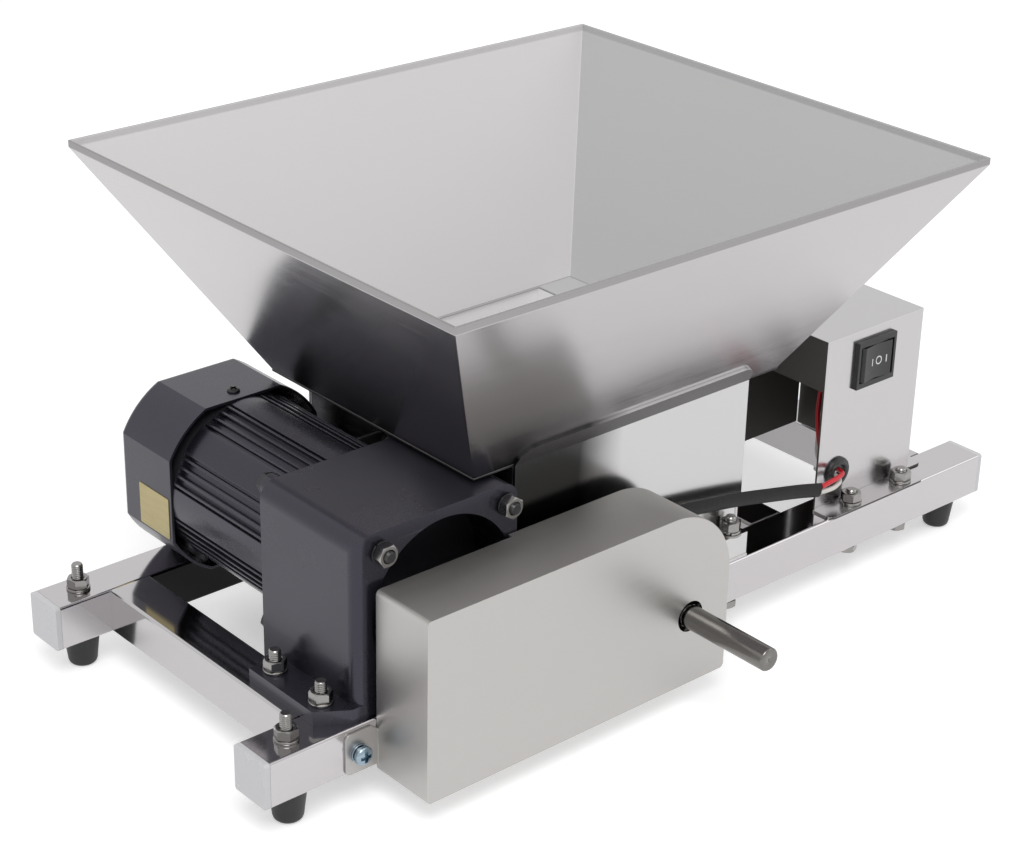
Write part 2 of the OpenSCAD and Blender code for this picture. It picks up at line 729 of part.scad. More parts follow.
module rail_end_caps() color("gainsboro") placed() {
    for (y = [0, back_rail_y]) {
        translate([0, y, 0]) end_cap();
        translate([rail_l - 2 * cap_t, y, 0]) mirror([1, 0, 0]) end_cap();
    }
}

module rubber_feet() color([0.08, 0.08, 0.08]) placed() for (p = concat(left_feet, right_feet)) {
    translate([p[0], p[1], -foot_h]) difference() {
        rotate_extrude() polygon([
            [0, 0], [foot_low_d / 2 - 2, 0], [foot_low_d / 2, 2], [foot_top_d / 2, foot_h], [0, foot_h]
        ]);
        translate([0, 0, foot_h - foot_stud_in]) cylinder(d = bolt_d + 2 * fit_gap, h = foot_stud_in + eps);
    }
}

// The left feet's studs pass through the rails, and the right feet's end in a nut inside them
module foot_studs() color("silver") placed() {
    for (p = left_feet) {
        translate([p[0], p[1], -foot_stud_in]) cylinder(d = bolt_d, h = foot_stud_in + tube + foot_stud_out);
    }
    for (p = right_feet) {
        translate([p[0], p[1], -foot_stud_in]) {
            cylinder(d = bolt_d, h = foot_stud_in + tube_wall + nut_h(bolt_d) + foot_stud_past);
        }
    }
}

module foot_nuts() color("silver") placed() {
    for (p = left_feet) translate([p[0], p[1], rail_top]) nut_on_washers(bolt_d, 1);
    for (p = right_feet) translate([p[0], p[1], tube_wall]) nut(bolt_d);
}

// Gear casing

// Outline of the casing seen from the front, with round upper edges
module casing_profile() {
    r = casing_edge_r;
    square([casing_w, casing_h - r]);
    translate([r, 0]) square([casing_w - 2 * r, casing_h]);
    for (x = [r, casing_w - r]) translate([x, casing_h - r]) circle(r);
}

// Outline of the casing seen from above, with one round front edge
module casing_plan() {
    r = casing_front_r;
    translate([r, 0]) square([casing_w - r, casing_d]);
    translate([0, r]) square([casing_w, casing_d - r]);
    translate([r, r]) circle(r);
}

module casing_block() translate([casing_x, casing_y, rail_top]) intersection() {
    along_y(casing_d) casing_profile();
    linear_extrude(casing_h) casing_plan();
}

module foot_plate() {
    x0 = foot_plate_x;
    x1 = casing_x + casing_w + foot_plate_hidden;
    y0 = foot_plate_y;
    y1 = foot_plate_y + foot_plate_d;
    translate([0, 0, rail_top]) linear_extrude(foot_plate_t) polygon([
        [x0 + foot_chamfer[0], y0], [x1, y0], [x1, y1], [x0, y1], [x0, y0 + foot_chamfer[1]]
    ]);
}

// Places of the four long screws round the motor axis, in X and Z
screw_places = [
    for (i = [-1, 1], k = [-1, 1]) [axis_x + i * screw_square / 2, axis_z + k * screw_square / 2]
];

// Front end of a long screw: the upper two pass through, the lower two stop in the casing
function screw_front(p) = p[1] > axis_z ? casing_y - screw_out : casing_y + screw_stop;

module gear_casing() color([0.3, 0.3, 0.34]) placed() difference() {
    union() {
        casing_block();
        foot_plate();
    }
    translate([axis_x, casing_y - eps, axis_z]) rod_y(casing_bore_d, casing_d - casing_back_t + eps);
    translate([axis_x, casing_y, axis_z]) rod_y(spigot_d + 2 * fit_gap, casing_d + eps);
    for (p = screw_places) {
        front = screw_front(p) < casing_y ? casing_y - eps : screw_front(p) - 0.5;
        translate([p[0], front, p[1]]) rod_y(hole_d, casing_back_y + eps - front);
    }
    for (p = foot_bolt_places) {
        translate([p[0], p[1], rail_top - eps]) cylinder(d = hole_d, h = foot_plate_t + 2 * eps);
    }
    for (p = base_bolt_places) {
        translate([p[0], p[1], rail_top - eps]) {
            cylinder(d = bolt_d + 2 * fit_gap, h = base_bolt_in + 0.5 + eps);
        }
    }
}

module casing_foot_bolts() color("silver") placed() for (p = foot_bolt_places) {
    translate([p[0], p[1], 0]) hex_bolt(bolt_d, tube + foot_plate_t + foot_bolt_out);
}

module casing_foot_nuts() color("silver") placed() for (p = foot_bolt_places) {
    translate([p[0], p[1], rail_top + foot_plate_t]) nut_on_washers(bolt_d, 1);
}

module casing_base_bolts() color("silver") placed() for (p = base_bolt_places) {
    translate([p[0], p[1], 0]) hex_bolt(bolt_d, tube + base_bolt_in);
}

// Long screws from the motor's lugs through the casing
module casing_screws() color("dimgray") placed() for (p = screw_places) {
    translate([p[0], casing_back_y + lug_l, p[1]]) rotate([90, 0, 0]) {
        hex_bolt(bolt_d, casing_back_y + lug_l - screw_front(p));
    }
}

module casing_nuts() color("silver") placed() for (p = screw_places) if (p[1] > axis_z) {
    translate([p[0], casing_y, p[1]]) rotate([90, 0, 0]) nut_on_washers(bolt_d, 1);
}

// Gearhead and motor

gearhead_y = casing_y + gearhead_in;
gearhead_l = casing_d - casing_back_t - gearhead_in;
output_seat_y = gearhead_y + output_seat_l;
spigot_l = casing_back_t;
rotor_start_y = gearhead_y + gearhead_l - rotor_seat_l;

module gearhead() color([0.2, 0.2, 0.22]) placed() difference() {
    union() {
        translate([axis_x, gearhead_y, axis_z]) rod_y(casing_bore_d - 2 * fit_gap, gearhead_l - fit_gap);
        translate([axis_x, gearhead_y - boss_l, output_z]) rod_y(boss_d, boss_l + eps);
    }
    translate([axis_x, gearhead_y - boss_l - eps, output_z]) {
        rod_y(output_d + 2 * run_gap, boss_l + output_seat_l + fit_gap + eps);
    }
    translate([axis_x, rotor_start_y - 2, axis_z]) rod_y(rotor_shaft_d + 2 * run_gap, rotor_seat_l + 2 + eps);
}

output_front_y = sprocket_y - sprocket_w / 2 - output_tip;

module output_shaft() color("silver") placed() {
    translate([axis_x, output_front_y, output_z]) rod_y(output_d, output_seat_y - output_front_y);
}

// Sprocket in X and Z with a roller seat at every tooth gap, turned to meet the chain
seat_r = roller_d / 2 + seat_gap;
module sprocket_profile() rotate(chain_lean) difference() {
    circle(pitch_r + tip_h);
    for (k = [0:teeth - 1]) rotate(90 + k * 360 / teeth) {
        translate([pitch_r, 0]) circle(d = roller_d + 2 * seat_gap);
        translate([pitch_r, 0]) polygon([
            [0, -seat_r], [roller_d, -seat_r - flank_lean * roller_d],
            [roller_d, seat_r + flank_lean * roller_d], [0, seat_r]
        ]);
    }
}

module sprocket(bore) difference() {
    union() {
        translate([0, sprocket_y - sprocket_w / 2, 0]) along_y(sprocket_w) sprocket_profile();
        translate([0, sprocket_y, 0]) rod_y(hub_d, sprocket_w / 2 + hub_l);
    }
    translate([0, sprocket_y - sprocket_w, 0]) rod_y(bore + 2 * fit_gap, 2 * sprocket_w + hub_l);
}

module motor_sprocket() color("dimgray") placed() translate([axis_x, 0, output_z]) sprocket(output_d);

// Angles of the ribs, in eight groups of four with a smooth band between two groups
rib_angles = [for (g = [22.5:45:337.5], i = [-1.5:1:1.5]) g + i * rib_step];

module motor_profile() {
    base_r = motor_d / 2 - rib_h;
    circle(base_r, $fn = 96);
    intersection() {
        circle(d = motor_d, $fn = 96);
        for (a = rib_angles) rotate(a) translate([base_r - 1, -rib_t / 2]) square([rib_h + 2, rib_t]);
    }
    intersection() {
        circle(d = motor_d - 2 * band_drop, $fn = 96);
        for (a = [0:45:315]) rotate(a) {
            polygon([[0, 0], [motor_d, -motor_d * tan(band_lean)], [motor_d, motor_d * tan(band_lean)]]);
        }
    }
}

// Four lugs on the motor's front end, each round a long screw
module lug_profile() {
    reach = screw_square / sqrt(2);
    for (a = [45:90:315]) rotate(a) difference() {
        union() {
            translate([reach, 0]) circle(lug_r);
            translate([0, -lug_r]) square([reach, 2 * lug_r]);
        }
        translate([reach, 0]) circle(d = hole_d);
    }
}

motor_bore_d = motor_d - 2 * rib_h - 2 * motor_wall;

module motor_body() color([0.3, 0.3, 0.34]) placed() translate([axis_x, 0, axis_z]) difference() {
    union() {
        translate([0, casing_back_y, 0]) along_y(motor_l) motor_profile();
        translate([0, casing_back_y, 0]) along_y(lug_l) lug_profile();
        translate([0, casing_back_y - spigot_l, 0]) rod_y(spigot_d, spigot_l + eps);
    }
    translate([0, casing_back_y + motor_front_t, 0]) rod_y(motor_bore_d, motor_l);
    translate([0, casing_back_y - spigot_l - eps, 0]) {
        rod_y(rotor_shaft_d + 2 * run_gap, spigot_l + motor_front_t + 2 * eps);
    }
}

module stator() color([0.45, 0.3, 0.2]) placed() translate([axis_x, stator_y, axis_z]) difference() {
    rod_y(motor_bore_d - 2 * fit_gap, stator_l);
    translate([0, -eps, 0]) rod_y(rotor_d + 2 * air_gap, stator_l + 2 * eps);
}

module rotor() color("gray") placed() translate([axis_x, 0, axis_z]) {
    translate([0, stator_y, 0]) rod_y(rotor_d, stator_l);
    translate([0, rotor_start_y, 0]) rod_y(rotor_shaft_d, fan_y + fan_t - rotor_start_y);
}

// Reach of the fan cover's screws below its flats
fan_screw_l = 6;

// Round disc behind the ribs that closes the motor and carries the fan cover
module rear_bell() color([0.25, 0.25, 0.28]) placed() translate([axis_x, 0, axis_z]) difference() {
    union() {
        translate([0, bell_y, 0]) rod_y(bell_d, bell_t);
        translate([0, bell_y - bell_lip, 0]) rod_y(motor_bore_d - 2 * fit_gap, bell_lip + eps);
    }
    translate([0, bell_y - bell_lip - eps, 0]) {
        rod_y(rotor_shaft_d + 2 * run_gap, bell_lip + bell_t + 2 * eps);
    }
    for (k = [-1, 1]) translate([0, bell_y + fan_screw_in, k * bell_d / 2]) {
        cylinder(d = fan_screw_d + 2 * fit_gap, h = 2 * fan_screw_l, center = true);
    }
}

module cooling_fan() color([0.15, 0.15, 0.16]) placed() translate([axis_x, fan_y, axis_z]) difference() {
    union() {
        rod_y(rotor_shaft_d + 12, fan_t);
        rod_y(fan_d, 2);
        for (k = [0:fan_blades - 1]) rotate([0, k * 360 / fan_blades, 0]) {
            translate([rotor_shaft_d / 2 + 4, 1, -1]) cube([(fan_d - rotor_shaft_d) / 2 - 6, fan_t - 2, 2]);
        }
    }
    translate([0, -eps, 0]) rod_y(rotor_shaft_d + 2 * fit_gap, fan_t + 2 * eps);
}

// Fan cover grown inwards by the given wall: a square with round corners and a round back edge
module fan_cover_form(wall) {
    w = fan_cover_w - 2 * wall;
    d = fan_cover_d - 2 * wall;
    l = fan_cover_l - wall;
    r = fan_cover_r - wall / 2;
    intersection() {
        rotate([-90, 0, 0]) rotate_extrude($fn = 96) {
            square([d / 2 - r, l]);
            square([d / 2, l - r]);
            translate([d / 2 - r, l - r]) circle(r);
        }
        translate([0, 0, -w / 2]) linear_extrude(w) cover_side(w, l, r);
        rotate([0, 90, 0]) translate([0, 0, -w / 2]) linear_extrude(w) cover_side(w, l, r);
    }
}

// Side view of the fan cover, round at its back
module cover_side(w, l, r) {
    translate([-w / 2, 0]) square([w, l - r]);
    translate([-w / 2 + r, 0]) square([w - 2 * r, l]);
    for (i = [-1, 1]) translate([i * (w / 2 - r), l - r]) circle(r);
}

module fan_cover() color([0.3, 0.3, 0.34]) placed() translate([axis_x, fan_cover_y, axis_z]) difference() {
    fan_cover_form(0);
    translate([0, -eps, 0]) fan_cover_form(fan_cover_t);
    fan_cover_form(fan_cover_t);
    for (ring = [1:vent_rings], k = [0:6 * ring - 1]) rotate([0, k * 60 / ring, 0]) {
        translate([ring * vent_step, fan_cover_l - fan_cover_t - eps, 0]) {
            rod_y(vent_d, fan_cover_t + 2 * eps);
        }
    }
    for (k = [-1, 1]) {
        translate([0, bell_y + fan_screw_in - fan_cover_y, k * fan_cover_w / 2]) {
            cylinder(d = fan_screw_d + 2 * hole_gap, h = 4 * fan_cover_t, center = true);
        }
    }
}

// Small round-headed screws through the fan cover's flats
module fan_cover_screws() color("dimgray") placed() for (k = [0, 1]) {
    translate([axis_x, bell_y + fan_screw_in, axis_z]) rotate([0, k * 180, 0]) {
        translate([0, 0, fan_cover_w / 2]) cylinder(d = 2.2 * fan_screw_d, h = 0.6 * fan_screw_d);
        translate([0, 0, fan_cover_w / 2 - fan_screw_l + 0.5]) cylinder(d = fan_screw_d, h = fan_screw_l);
    }
}

module rating_plate() color([0.75, 0.62, 0.35]) placed() {
    translate([axis_x - fan_cover_w / 2 - rating_t, fan_cover_y + rating_in, axis_z - rating_drop]) {
        cube([rating_t, rating_size[0], rating_size[1]]);
    }
}

// Gland where the sleeve enters the motor body
module motor_gland() color([0.1, 0.1, 0.1]) placed() difference() {
    root_x = axis_x + motor_d / 4;
    translate([root_x, sleeve_end[1], sleeve_end[2]]) rod_x(gland_d, sleeve_end[0] - root_x - seam_gap);
    translate([axis_x, casing_back_y, axis_z]) rod_y(motor_d + 2 * fit_gap, motor_l);
}

// Hopper and crusher box

function hopper_rect(z) =
    hopper_low + (hopper_top - hopper_low) * (z - fold_z) / (rim_z - fold_z);

module hopper() color([0.78, 0.77, 0.76]) placed() difference() {
    union() {
        frustum(hopper_low, hopper_top, fold_z, rim_z);
        frustum(hopper_top, hopper_top, rim_z, hopper_top_z);
    }
    frustum(grow(hopper_rect(fold_z - eps), -hopper_t), grow(hopper_top, -hopper_t), fold_z - eps, rim_z);
    frustum(grow(hopper_top, -hopper_t), grow(hopper_top, -hopper_t), rim_z, hopper_top_z + eps);
}

// Plate below the hopper that leaves the throat open
module hopper_base() color([0.74, 0.73, 0.72]) placed() difference() {
    translate([hopper_low[0], hopper_low[2], fold_z - hopper_t]) {
        cube([hopper_low_l, hopper_low[3] - hopper_low[2], hopper_t]);
    }
    translate([box_x + box_t, inner_y0 + throat_edge, fold_z - hopper_t - eps]) {
        cube([box_l - 2 * box_t, inner_y1 - inner_y0 - 2 * throat_edge, hopper_t + 2 * eps]);
    }
}

// Cross-section of an end plate in Y and Z: flange, upright sheet and leaning strip in one bend
module bent_profile(flange_d, lean) polygon([
    [-flange_d, 0], [box_t, 0], [box_t, box_h],
    [box_t - strip_h * sin(lean), box_h + strip_h * cos(lean)],
    [box_t - strip_h * sin(lean) - box_t * cos(lean), box_h + strip_h * cos(lean) - box_t * sin(lean)],
    [0, box_h - box_t * tan(lean / 2)], [0, box_t], [-flange_d, box_t]
]);

// What is cut off at a round corner in X and Z; i and k tell the corner's side
module corner_cut(i, k, r) difference() {
    translate([i > 0 ? -r : -eps, k > 0 ? -r : -eps]) square(r + eps);
    translate([-i * r, -k * r]) circle(r);
}

// Bent end plate, its outer face at y = 0 and the box behind it
module end_plate(flange_d, lean) difference() {
    translate([0, 0, rail_top]) along_x(box_l) bent_profile(flange_d, lean);
    translate([box_l, -flange_d - eps, rail_top]) along_y(flange_d + box_t + 2 * eps) {
        translate([-plate_notch[0], -eps]) square([plate_notch[0] + eps, plate_notch[1] + eps]);
        translate([0, plate_notch[1]]) corner_cut(1, -1, notch_r);
    }
    translate([shaft_x - box_x, -eps, shaft_z]) rod_y(bush_d + 2 * fit_gap, box_t + 2 * eps);
    translate([0, box_t, fold_z]) rotate([lean, 0, 0]) translate([0, -2 * box_t, strip_h]) {
        along_y(3 * box_t) for (i = [-1, 1]) {
            translate([i > 0 ? box_l : 0, 0]) corner_cut(i, 1, strip_r);
        }
    }
}

// Upright holes through an end plate's flange
module flange_holes(places) {
    for (p = places) translate([p[0], p[1], rail_top - eps]) cylinder(d = hole_d, h = box_t + 2 * eps);
}

module front_plate() color([0.8, 0.79, 0.78]) placed() difference() {
    translate([box_x, box_y, 0]) end_plate(box_y - front_bar_y + flange_edge, front_lean);
    flange_holes(front_bar_bolts);
}

// The back plate's flange reaches further, because the plate stands in front of the back rail
module back_plate() color([0.8, 0.79, 0.78]) placed() difference() {
    translate([box_x, box_back_y, 0]) mirror([0, 1, 0]) {
        end_plate(back_bar_y + bar_w - box_back_y + flange_edge, back_lean);
    }
    flange_holes(back_bar_bolts);
}

// Side wall of the crusher box between the end plates
module box_wall(x) color([0.74, 0.73, 0.72]) placed() {
    translate([x, inner_y0 + seam_gap, rail_top + box_t]) {
        cube([box_t, inner_y1 - inner_y0 - 2 * seam_gap, box_h - box_t - hopper_t - seam_gap]);
    }
}

module left_box_wall() box_wall(box_x);
module right_box_wall() box_wall(box_x + box_l - box_t);

// Sloping plate from a side wall down to the roller, as a profile in X and Z
roller_r = norm([drum_d / 2 + tooth_h, tooth_size[0] / 2]);
guide_high_z = fold_z - guide_drop;
guide_y0 = inner_y0 + guide_gap;
guide_l = inner_y1 - inner_y0 - 2 * guide_gap;

module slope(wall_x, tip_x, tip_z) {
    translate([0, guide_y0, 0]) along_y(guide_l) polygon([
        [wall_x, guide_high_z], [tip_x, tip_z], [tip_x, tip_z - guide_t], [wall_x, guide_high_z - 2 * guide_t]
    ]);
}

feed_tip_x = shaft_x - (roller_r + crush_gap) * cos(30);
feed_tip_z = shaft_z + (roller_r + crush_gap) * sin(30);
crush_tip_x = shaft_x + roller_r + crush_gap;
crush_tip_z = shaft_z + 2 * guide_t;

module feed_plate() color([0.7, 0.7, 0.7]) placed() {
    slope(box_x + box_t + seam_gap, feed_tip_x, feed_tip_z);
}

module crushing_plate() color([0.7, 0.7, 0.7]) placed() {
    slope(box_x + box_l - box_t - seam_gap, crush_tip_x, crush_tip_z);
}

// Roller, chain and bearings

module crank_shaft() color("silver") placed() translate([shaft_x, shaft_tip_y, shaft_z]) rotate([-90, 0, 0]) {
    l = shaft_end_y - shaft_tip_y;
    r = shaft_d / 2;
    c = shaft_chamfer;
    groove_end = shaft_out + groove_w;
    rotate_extrude() polygon([
        [0, 0], [r - c, 0], [r, c], [r, shaft_out], [r - groove_h, shaft_out],
        [r - groove_h, groove_end], [r, groove_end], [r, l - c], [r - c, l], [0, l]
    ]);
}

drum_y = tube + drum_gap;
drum_l = inner_y1 - drum_play - drum_y;
tooth_inset = 1.5;
tooth_step = (drum_l - 2 * tooth_inset - tooth_size[1]) / (tooth_count - 1);

module crushing_roller() color([0.7, 0.7, 0.68]) placed() translate([shaft_x, drum_y, shaft_z]) difference() {
    union() {
        rod_y(drum_d, drum_l);
        for (row = [0:tooth_rows - 1], k = [0:tooth_count - 1]) rotate([0, row * 360 / tooth_rows, 0]) {
            translate([drum_d / 2 - tooth_h / 2, tooth_inset + k * tooth_step, -tooth_size[0] / 2]) {
                cube([1.5 * tooth_h, tooth_size[1], tooth_size[0]]);
            }
        }
    }
    translate([0, -eps, 0]) rod_y(shaft_d + 2 * fit_gap, drum_l + 2 * eps);
}

module roller_sprocket() color("dimgray") placed() translate([shaft_x, 0, shaft_z]) sprocket(shaft_d);

// Outline of the chain's loop round both sprockets, at the given radius
module chain_loop(r) {
    circle(r);
    translate([centre_distance, 0]) circle(r);
    translate([0, -r]) square([centre_distance, 2 * r]);
}

// Places of the chain's rollers: along both runs and round both sprockets
run_pitches = (links - teeth) / 2;
roller_places = concat(
    [for (i = [0:run_pitches], s = [-1, 1]) [i * pitch, s * pitch_r]],
    [for (k = [1:teeth / 2 - 1]) pitch_r * [cos(90 + k * 360 / teeth), sin(90 + k * 360 / teeth)]],
    [for (k = [1:teeth / 2 - 1])
        [centre_distance, 0] + pitch_r * [cos(90 - k * 360 / teeth), sin(90 - k * 360 / teeth)]]
);

module drive_chain() color([0.35, 0.33, 0.3]) placed() translate([axis_x, sprocket_y, output_z]) {
    for (s = [-1, 1]) {
        translate([0, s * (chain_in_w + chain_plate_t) / 2 - chain_plate_t / 2, 0]) {
            along_y(chain_plate_t) rotate(chain_lean) difference() {
                chain_loop(pitch_r + chain_plate_h / 2);
                chain_loop(pitch_r - chain_plate_h / 2);
            }
        }
    }
    translate([0, -chain_in_w / 2 - 0.2, 0]) along_y(chain_in_w + 0.4) rotate(chain_lean) {
        for (p = roller_places) translate(p) circle(d = roller_d);
    }
}

// Bearing bar with a hub round the shaft, cut flat below
module bearing_bar(y, places) color([0.72, 0.71, 0.7]) placed() difference() {
    union() {
        translate([bar_x, y, bar_z]) cube([bar_l, bar_w, bar_h]);
        intersection() {
            translate([shaft_x, y, shaft_z]) rod_y(bar_hub_d, bar_w);
            translate([shaft_x - bar_hub_d, y, bar_z]) cube([2 * bar_hub_d, bar_w, 2 * bar_hub_d]);
        }
    }
    translate([shaft_x, y - eps, shaft_z]) rod_y(bush_d + 2 * fit_gap, bar_w + 2 * eps);
    for (p = places) translate([p[0], p[1], bar_z - eps]) cylinder(d = hole_d, h = bar_h + 2 * eps);
}

module front_bearing_bar() bearing_bar(front_bar_y, front_bar_bolts);
module back_bearing_bar() bearing_bar(back_bar_y, back_bar_bolts);

module bush(y, l) translate([shaft_x, y, shaft_z]) difference() {
    rod_y(bush_d, l);
    translate([0, -eps, 0]) rod_y(shaft_d + 2 * run_gap, l + 2 * eps);
}

module bearing_bushes() color([0.72, 0.55, 0.3]) placed() {
    bush(front_bar_y, inner_y0 - front_bar_y);
    bush(inner_y1, back_bar_y + bar_w - inner_y1);
}

module bearing_bolts() color("silver") placed() for (p = concat(front_bar_bolts, back_bar_bolts)) {
    translate([p[0], p[1], 0]) hex_bolt(bolt_d, bar_z + bar_h + bar_bolt_out);
}

module bearing_nuts() color("silver") placed() for (p = concat(front_bar_bolts, back_bar_bolts)) {
    translate([p[0], p[1], bar_z + bar_h]) nut_on_washers(bolt_d, 2);
}

// Chain cover

// Outline of the cover in X and Z, drawn inwards by the sheet's thickness
module cover_outline(inset) {
    w = cover_l - 2 * inset;
    h = cover_h - 2 * inset;
    big = cover_big_r - inset;
    small = cover_small_r - inset / 2;
    translate([cover_x + inset, inset - cover_drop]) {
        translate([small, 0]) square([w - small - big, h]);
        translate([0, small]) square([w, h - small - big]);
        translate([0, small]) square([w - big, h - 2 * small]);
        translate([small, 0]) square([w - 2 * small, h - big]);
        for (p = [[small, small], [small, h - small], [w - small, small]]) translate(p) circle(small);
        translate([w - big, h - big]) circle(big, $fn = 96);
    }
}

lip_start_x = casing_x + casing_w - 6;

module chain_cover() color([0.74, 0.72, 0.7]) placed() {
    difference() {
        union() {
            translate([0, cover_front_y, 0]) along_y(cover_d - seam_gap) cover_outline(0);
            intersection() {
                translate([0, cover_front_y, 0]) along_y(cover_d + cover_lip) cover_outline(0);
                translate([lip_start_x, -cover_t, cover_top_z - cover_big_r]) {
                    cube([cover_l, cover_t + cover_lip, 2 * cover_big_r]);
                }
            }
        }
        translate([0, cover_front_y + cover_t, 0]) along_y(cover_d + cover_lip) cover_outline(cover_t);
        translate([shaft_x, cover_front_y - eps, shaft_z]) rod_y(cover_hole_d, cover_t + 2 * eps);
    }
    difference() {
        union() {
            outer_tab();
            inner_tab();
        }
        for (x = tab_screw_places) {
            translate([x, -3 * cover_t, tab_screw_h]) rod_y(tab_screw_d + 2 * hole_gap, 4 * cover_t);
        }
    }
}

// Tab on the rail's face beside the cover, with two round corners and a slanted cut at its fold
module outer_tab() translate([0, -cover_t - seam_gap, 0]) along_y(cover_t) {
    low_x = cover_x - tab_size[0];
    fold_x = cover_x + cover_t / 2;
    top_z = tab_low + tab_size[1];
    translate([low_x + tab_r, tab_low + tab_r]) circle(tab_r);
    translate([low_x + tab_r, top_z - tab_r]) circle(tab_r);
    translate([low_x, tab_low + tab_r]) square([tab_size[0] - tab_relief[0], tab_size[1] - 2 * tab_r]);
    polygon([
        [low_x + tab_r, tab_low], [fold_x, tab_low], [fold_x, top_z - tab_relief[1]],
        [fold_x - tab_relief[0], top_z], [low_x + tab_r, top_z]
    ]);
}

// Tab inside the cover at its other end
module inner_tab() translate([cover_end_x - cover_t / 2 - inner_tab_l, -cover_t - seam_gap, tab_low]) {
    cube([inner_tab_l, cover_t, tab_size[1] - tab_relief[1]]);
}

// Round-headed tab screws on a flat and a spring washer, with nuts inside the rail
module cover_screws() color("silver") placed() for (x = tab_screw_places) {
    washer_t = tab_screw_d / 4;
    head_t = 0.65 * tab_screw_d;
    translate([x, -cover_t - seam_gap, tab_screw_h]) {
        translate([0, -washer_t, 0]) rod_y(1.9 * tab_screw_d, washer_t);
        translate([0, -2 * washer_t, 0]) rod_y(1.6 * tab_screw_d, washer_t);
        translate([0, -2 * washer_t - head_t, 0]) rod_y(1.9 * tab_screw_d, head_t);
        rod_y(tab_screw_d, cover_t + seam_gap + tube_wall + 1.6 * tab_screw_d);
    }
    translate([x, tube_wall, tab_screw_h]) rotate([-90, 0, 0]) nut(tab_screw_d);
}

// Switch box

// Flange on the frame, a rectangle with round corners away from the box
module front_flange() difference() {
    translate([sbox_x - flange_shift, -flange_over, rail_top]) linear_extrude(sbox_t) {
        rounded_rect(sbox_l, sbox_y + flange_over + sbox_t, flange_r);
    }
    for (p = sbox_bolt_places) {
        translate([p[0], p[1], rail_top - eps]) cylinder(d = hole_d, h = sbox_t + 2 * eps);
    }
}

module side_flange() difference() {
    translate([sbox_end_x - sbox_t, sbox_y + side_flange_back, rail_top]) linear_extrude(sbox_t) {
        rounded_rect(side_flange_w + sbox_t, sbox_d - side_flange_back, flange_r);
    }
    for (p = sbox_side_bolt_places) {
        translate([p[0], p[1], rail_top - eps]) cylinder(d = hole_d, h = sbox_t + 2 * eps);
    }
}

module switch_box() color([0.82, 0.81, 0.8]) placed() {
    difference() {
        translate([sbox_x, sbox_y, rail_top]) cube([sbox_l, sbox_t, sbox_h]);
        translate([switch_x - housing_w / 2 - fit_gap, sbox_y - eps, switch_z - housing_h / 2 - fit_gap]) {
            cube([housing_w + 2 * fit_gap, sbox_t + 2 * eps, housing_h + 2 * fit_gap]);
        }
        translate([grommet_x, sbox_y - eps, grommet_z]) rod_y(grommet_neck_d + 2 * fit_gap, sbox_t + 2 * eps);
    }
    translate([sbox_x, sbox_y, sbox_top_z - sbox_t]) cube([sbox_l, sbox_d, sbox_t]);
    translate([sbox_end_x - sbox_t, sbox_y, rail_top]) cube([sbox_t, sbox_d, sbox_h]);
    translate([sbox_x, sbox_y, sbox_top_z - flap_h]) cube([sbox_t, sbox_d, flap_h]);
    front_flange();
    side_flange();
}

// Back panel, hung below the box's top with a slit beside the right wall
module switch_box_back() color([0.8, 0.79, 0.78]) placed() {
    translate([sbox_x + sbox_t + seam_gap, sbox_back_y - sbox_t, rail_top + sbox_t]) {
        cube([sbox_l - 2 * sbox_t - seam_gap - slit, sbox_t, sbox_h - 2 * sbox_t - seam_gap]);
    }
}

module switch_box_bolts() color("silver") placed() {
    for (p = concat(sbox_bolt_places, sbox_side_bolt_places)) {
        translate([p[0], p[1], 0]) hex_bolt(bolt_d, tube + sbox_t + sbox_bolt_out);
    }
}

module switch_box_nuts() color("silver") placed() {
    for (p = concat(sbox_bolt_places, sbox_side_bolt_places)) {
        translate([p[0], p[1], rail_top + sbox_t]) nut_on_washers(bolt_d, 1);
    }
}

// Frame and housing of the switch, with the pivot's bores above and below the rocker
module switch_frame() color([0.07, 0.07, 0.07]) placed() translate([switch_x, sbox_y, switch_z]) {
    mouth_w = 2 * (sqrt(pow(rocker_r, 2) - pow(pivot_in, 2)) + 2 * rocker_gap);
    room_w = 2 * (rocker_r + rocker_gap);
    room_h = rocker_h + 2 * rocker_gap;
    difference() {
        union() {
            middle_cube([bezel_size[0], bezel_t, bezel_size[1]], -bezel_t);
            middle_cube([housing_w, housing_d + bezel_t / 2, housing_h], -bezel_t / 2);
            for (x = [-1, 0, 1]) translate([7 * x, 0, 0]) {
                middle_cube([4.8, terminal_l + eps, 0.8], housing_d - eps);
            }
        }
        middle_cube([mouth_w, bezel_t + 2 * eps, room_h], -bezel_t - eps);
        middle_cube([room_w, housing_d - 2 * housing_wall, room_h], 0);
        translate([0, pivot_in, -housing_h]) cylinder(d = pivot_d + 2 * run_gap, h = 2 * housing_h);
    }
}

// Block in the middle of the switch in X and Z, from the given depth on
module middle_cube(size, y) translate([-size[0] / 2, y, -size[2] / 2]) cube(size);

// Rocker with ends that are arcs about its upright pivot
module rocker() color([0.1, 0.1, 0.1]) placed() translate([switch_x, pivot_y, switch_z]) {
    middle = pivot_in + bezel_t - 0.4;
    top = middle + rocker_rise;
    pin_l = rocker_h + 2 * (rocker_gap + housing_wall);
    translate([0, 0, -rocker_h / 2]) linear_extrude(rocker_h) intersection() {
        circle(rocker_r, $fn = 96);
        polygon([
            [-rocker_r, -2], [-rocker_r, -top], [0, -middle], [rocker_r, -top], [rocker_r, -2],
            [pivot_d, -2], [pivot_d, 2.5], [-pivot_d, 2.5], [-pivot_d, -2]
        ]);
    }
    translate([0, 0, -pin_l / 2]) cylinder(d = pivot_d, h = pin_l);
}

// Cable

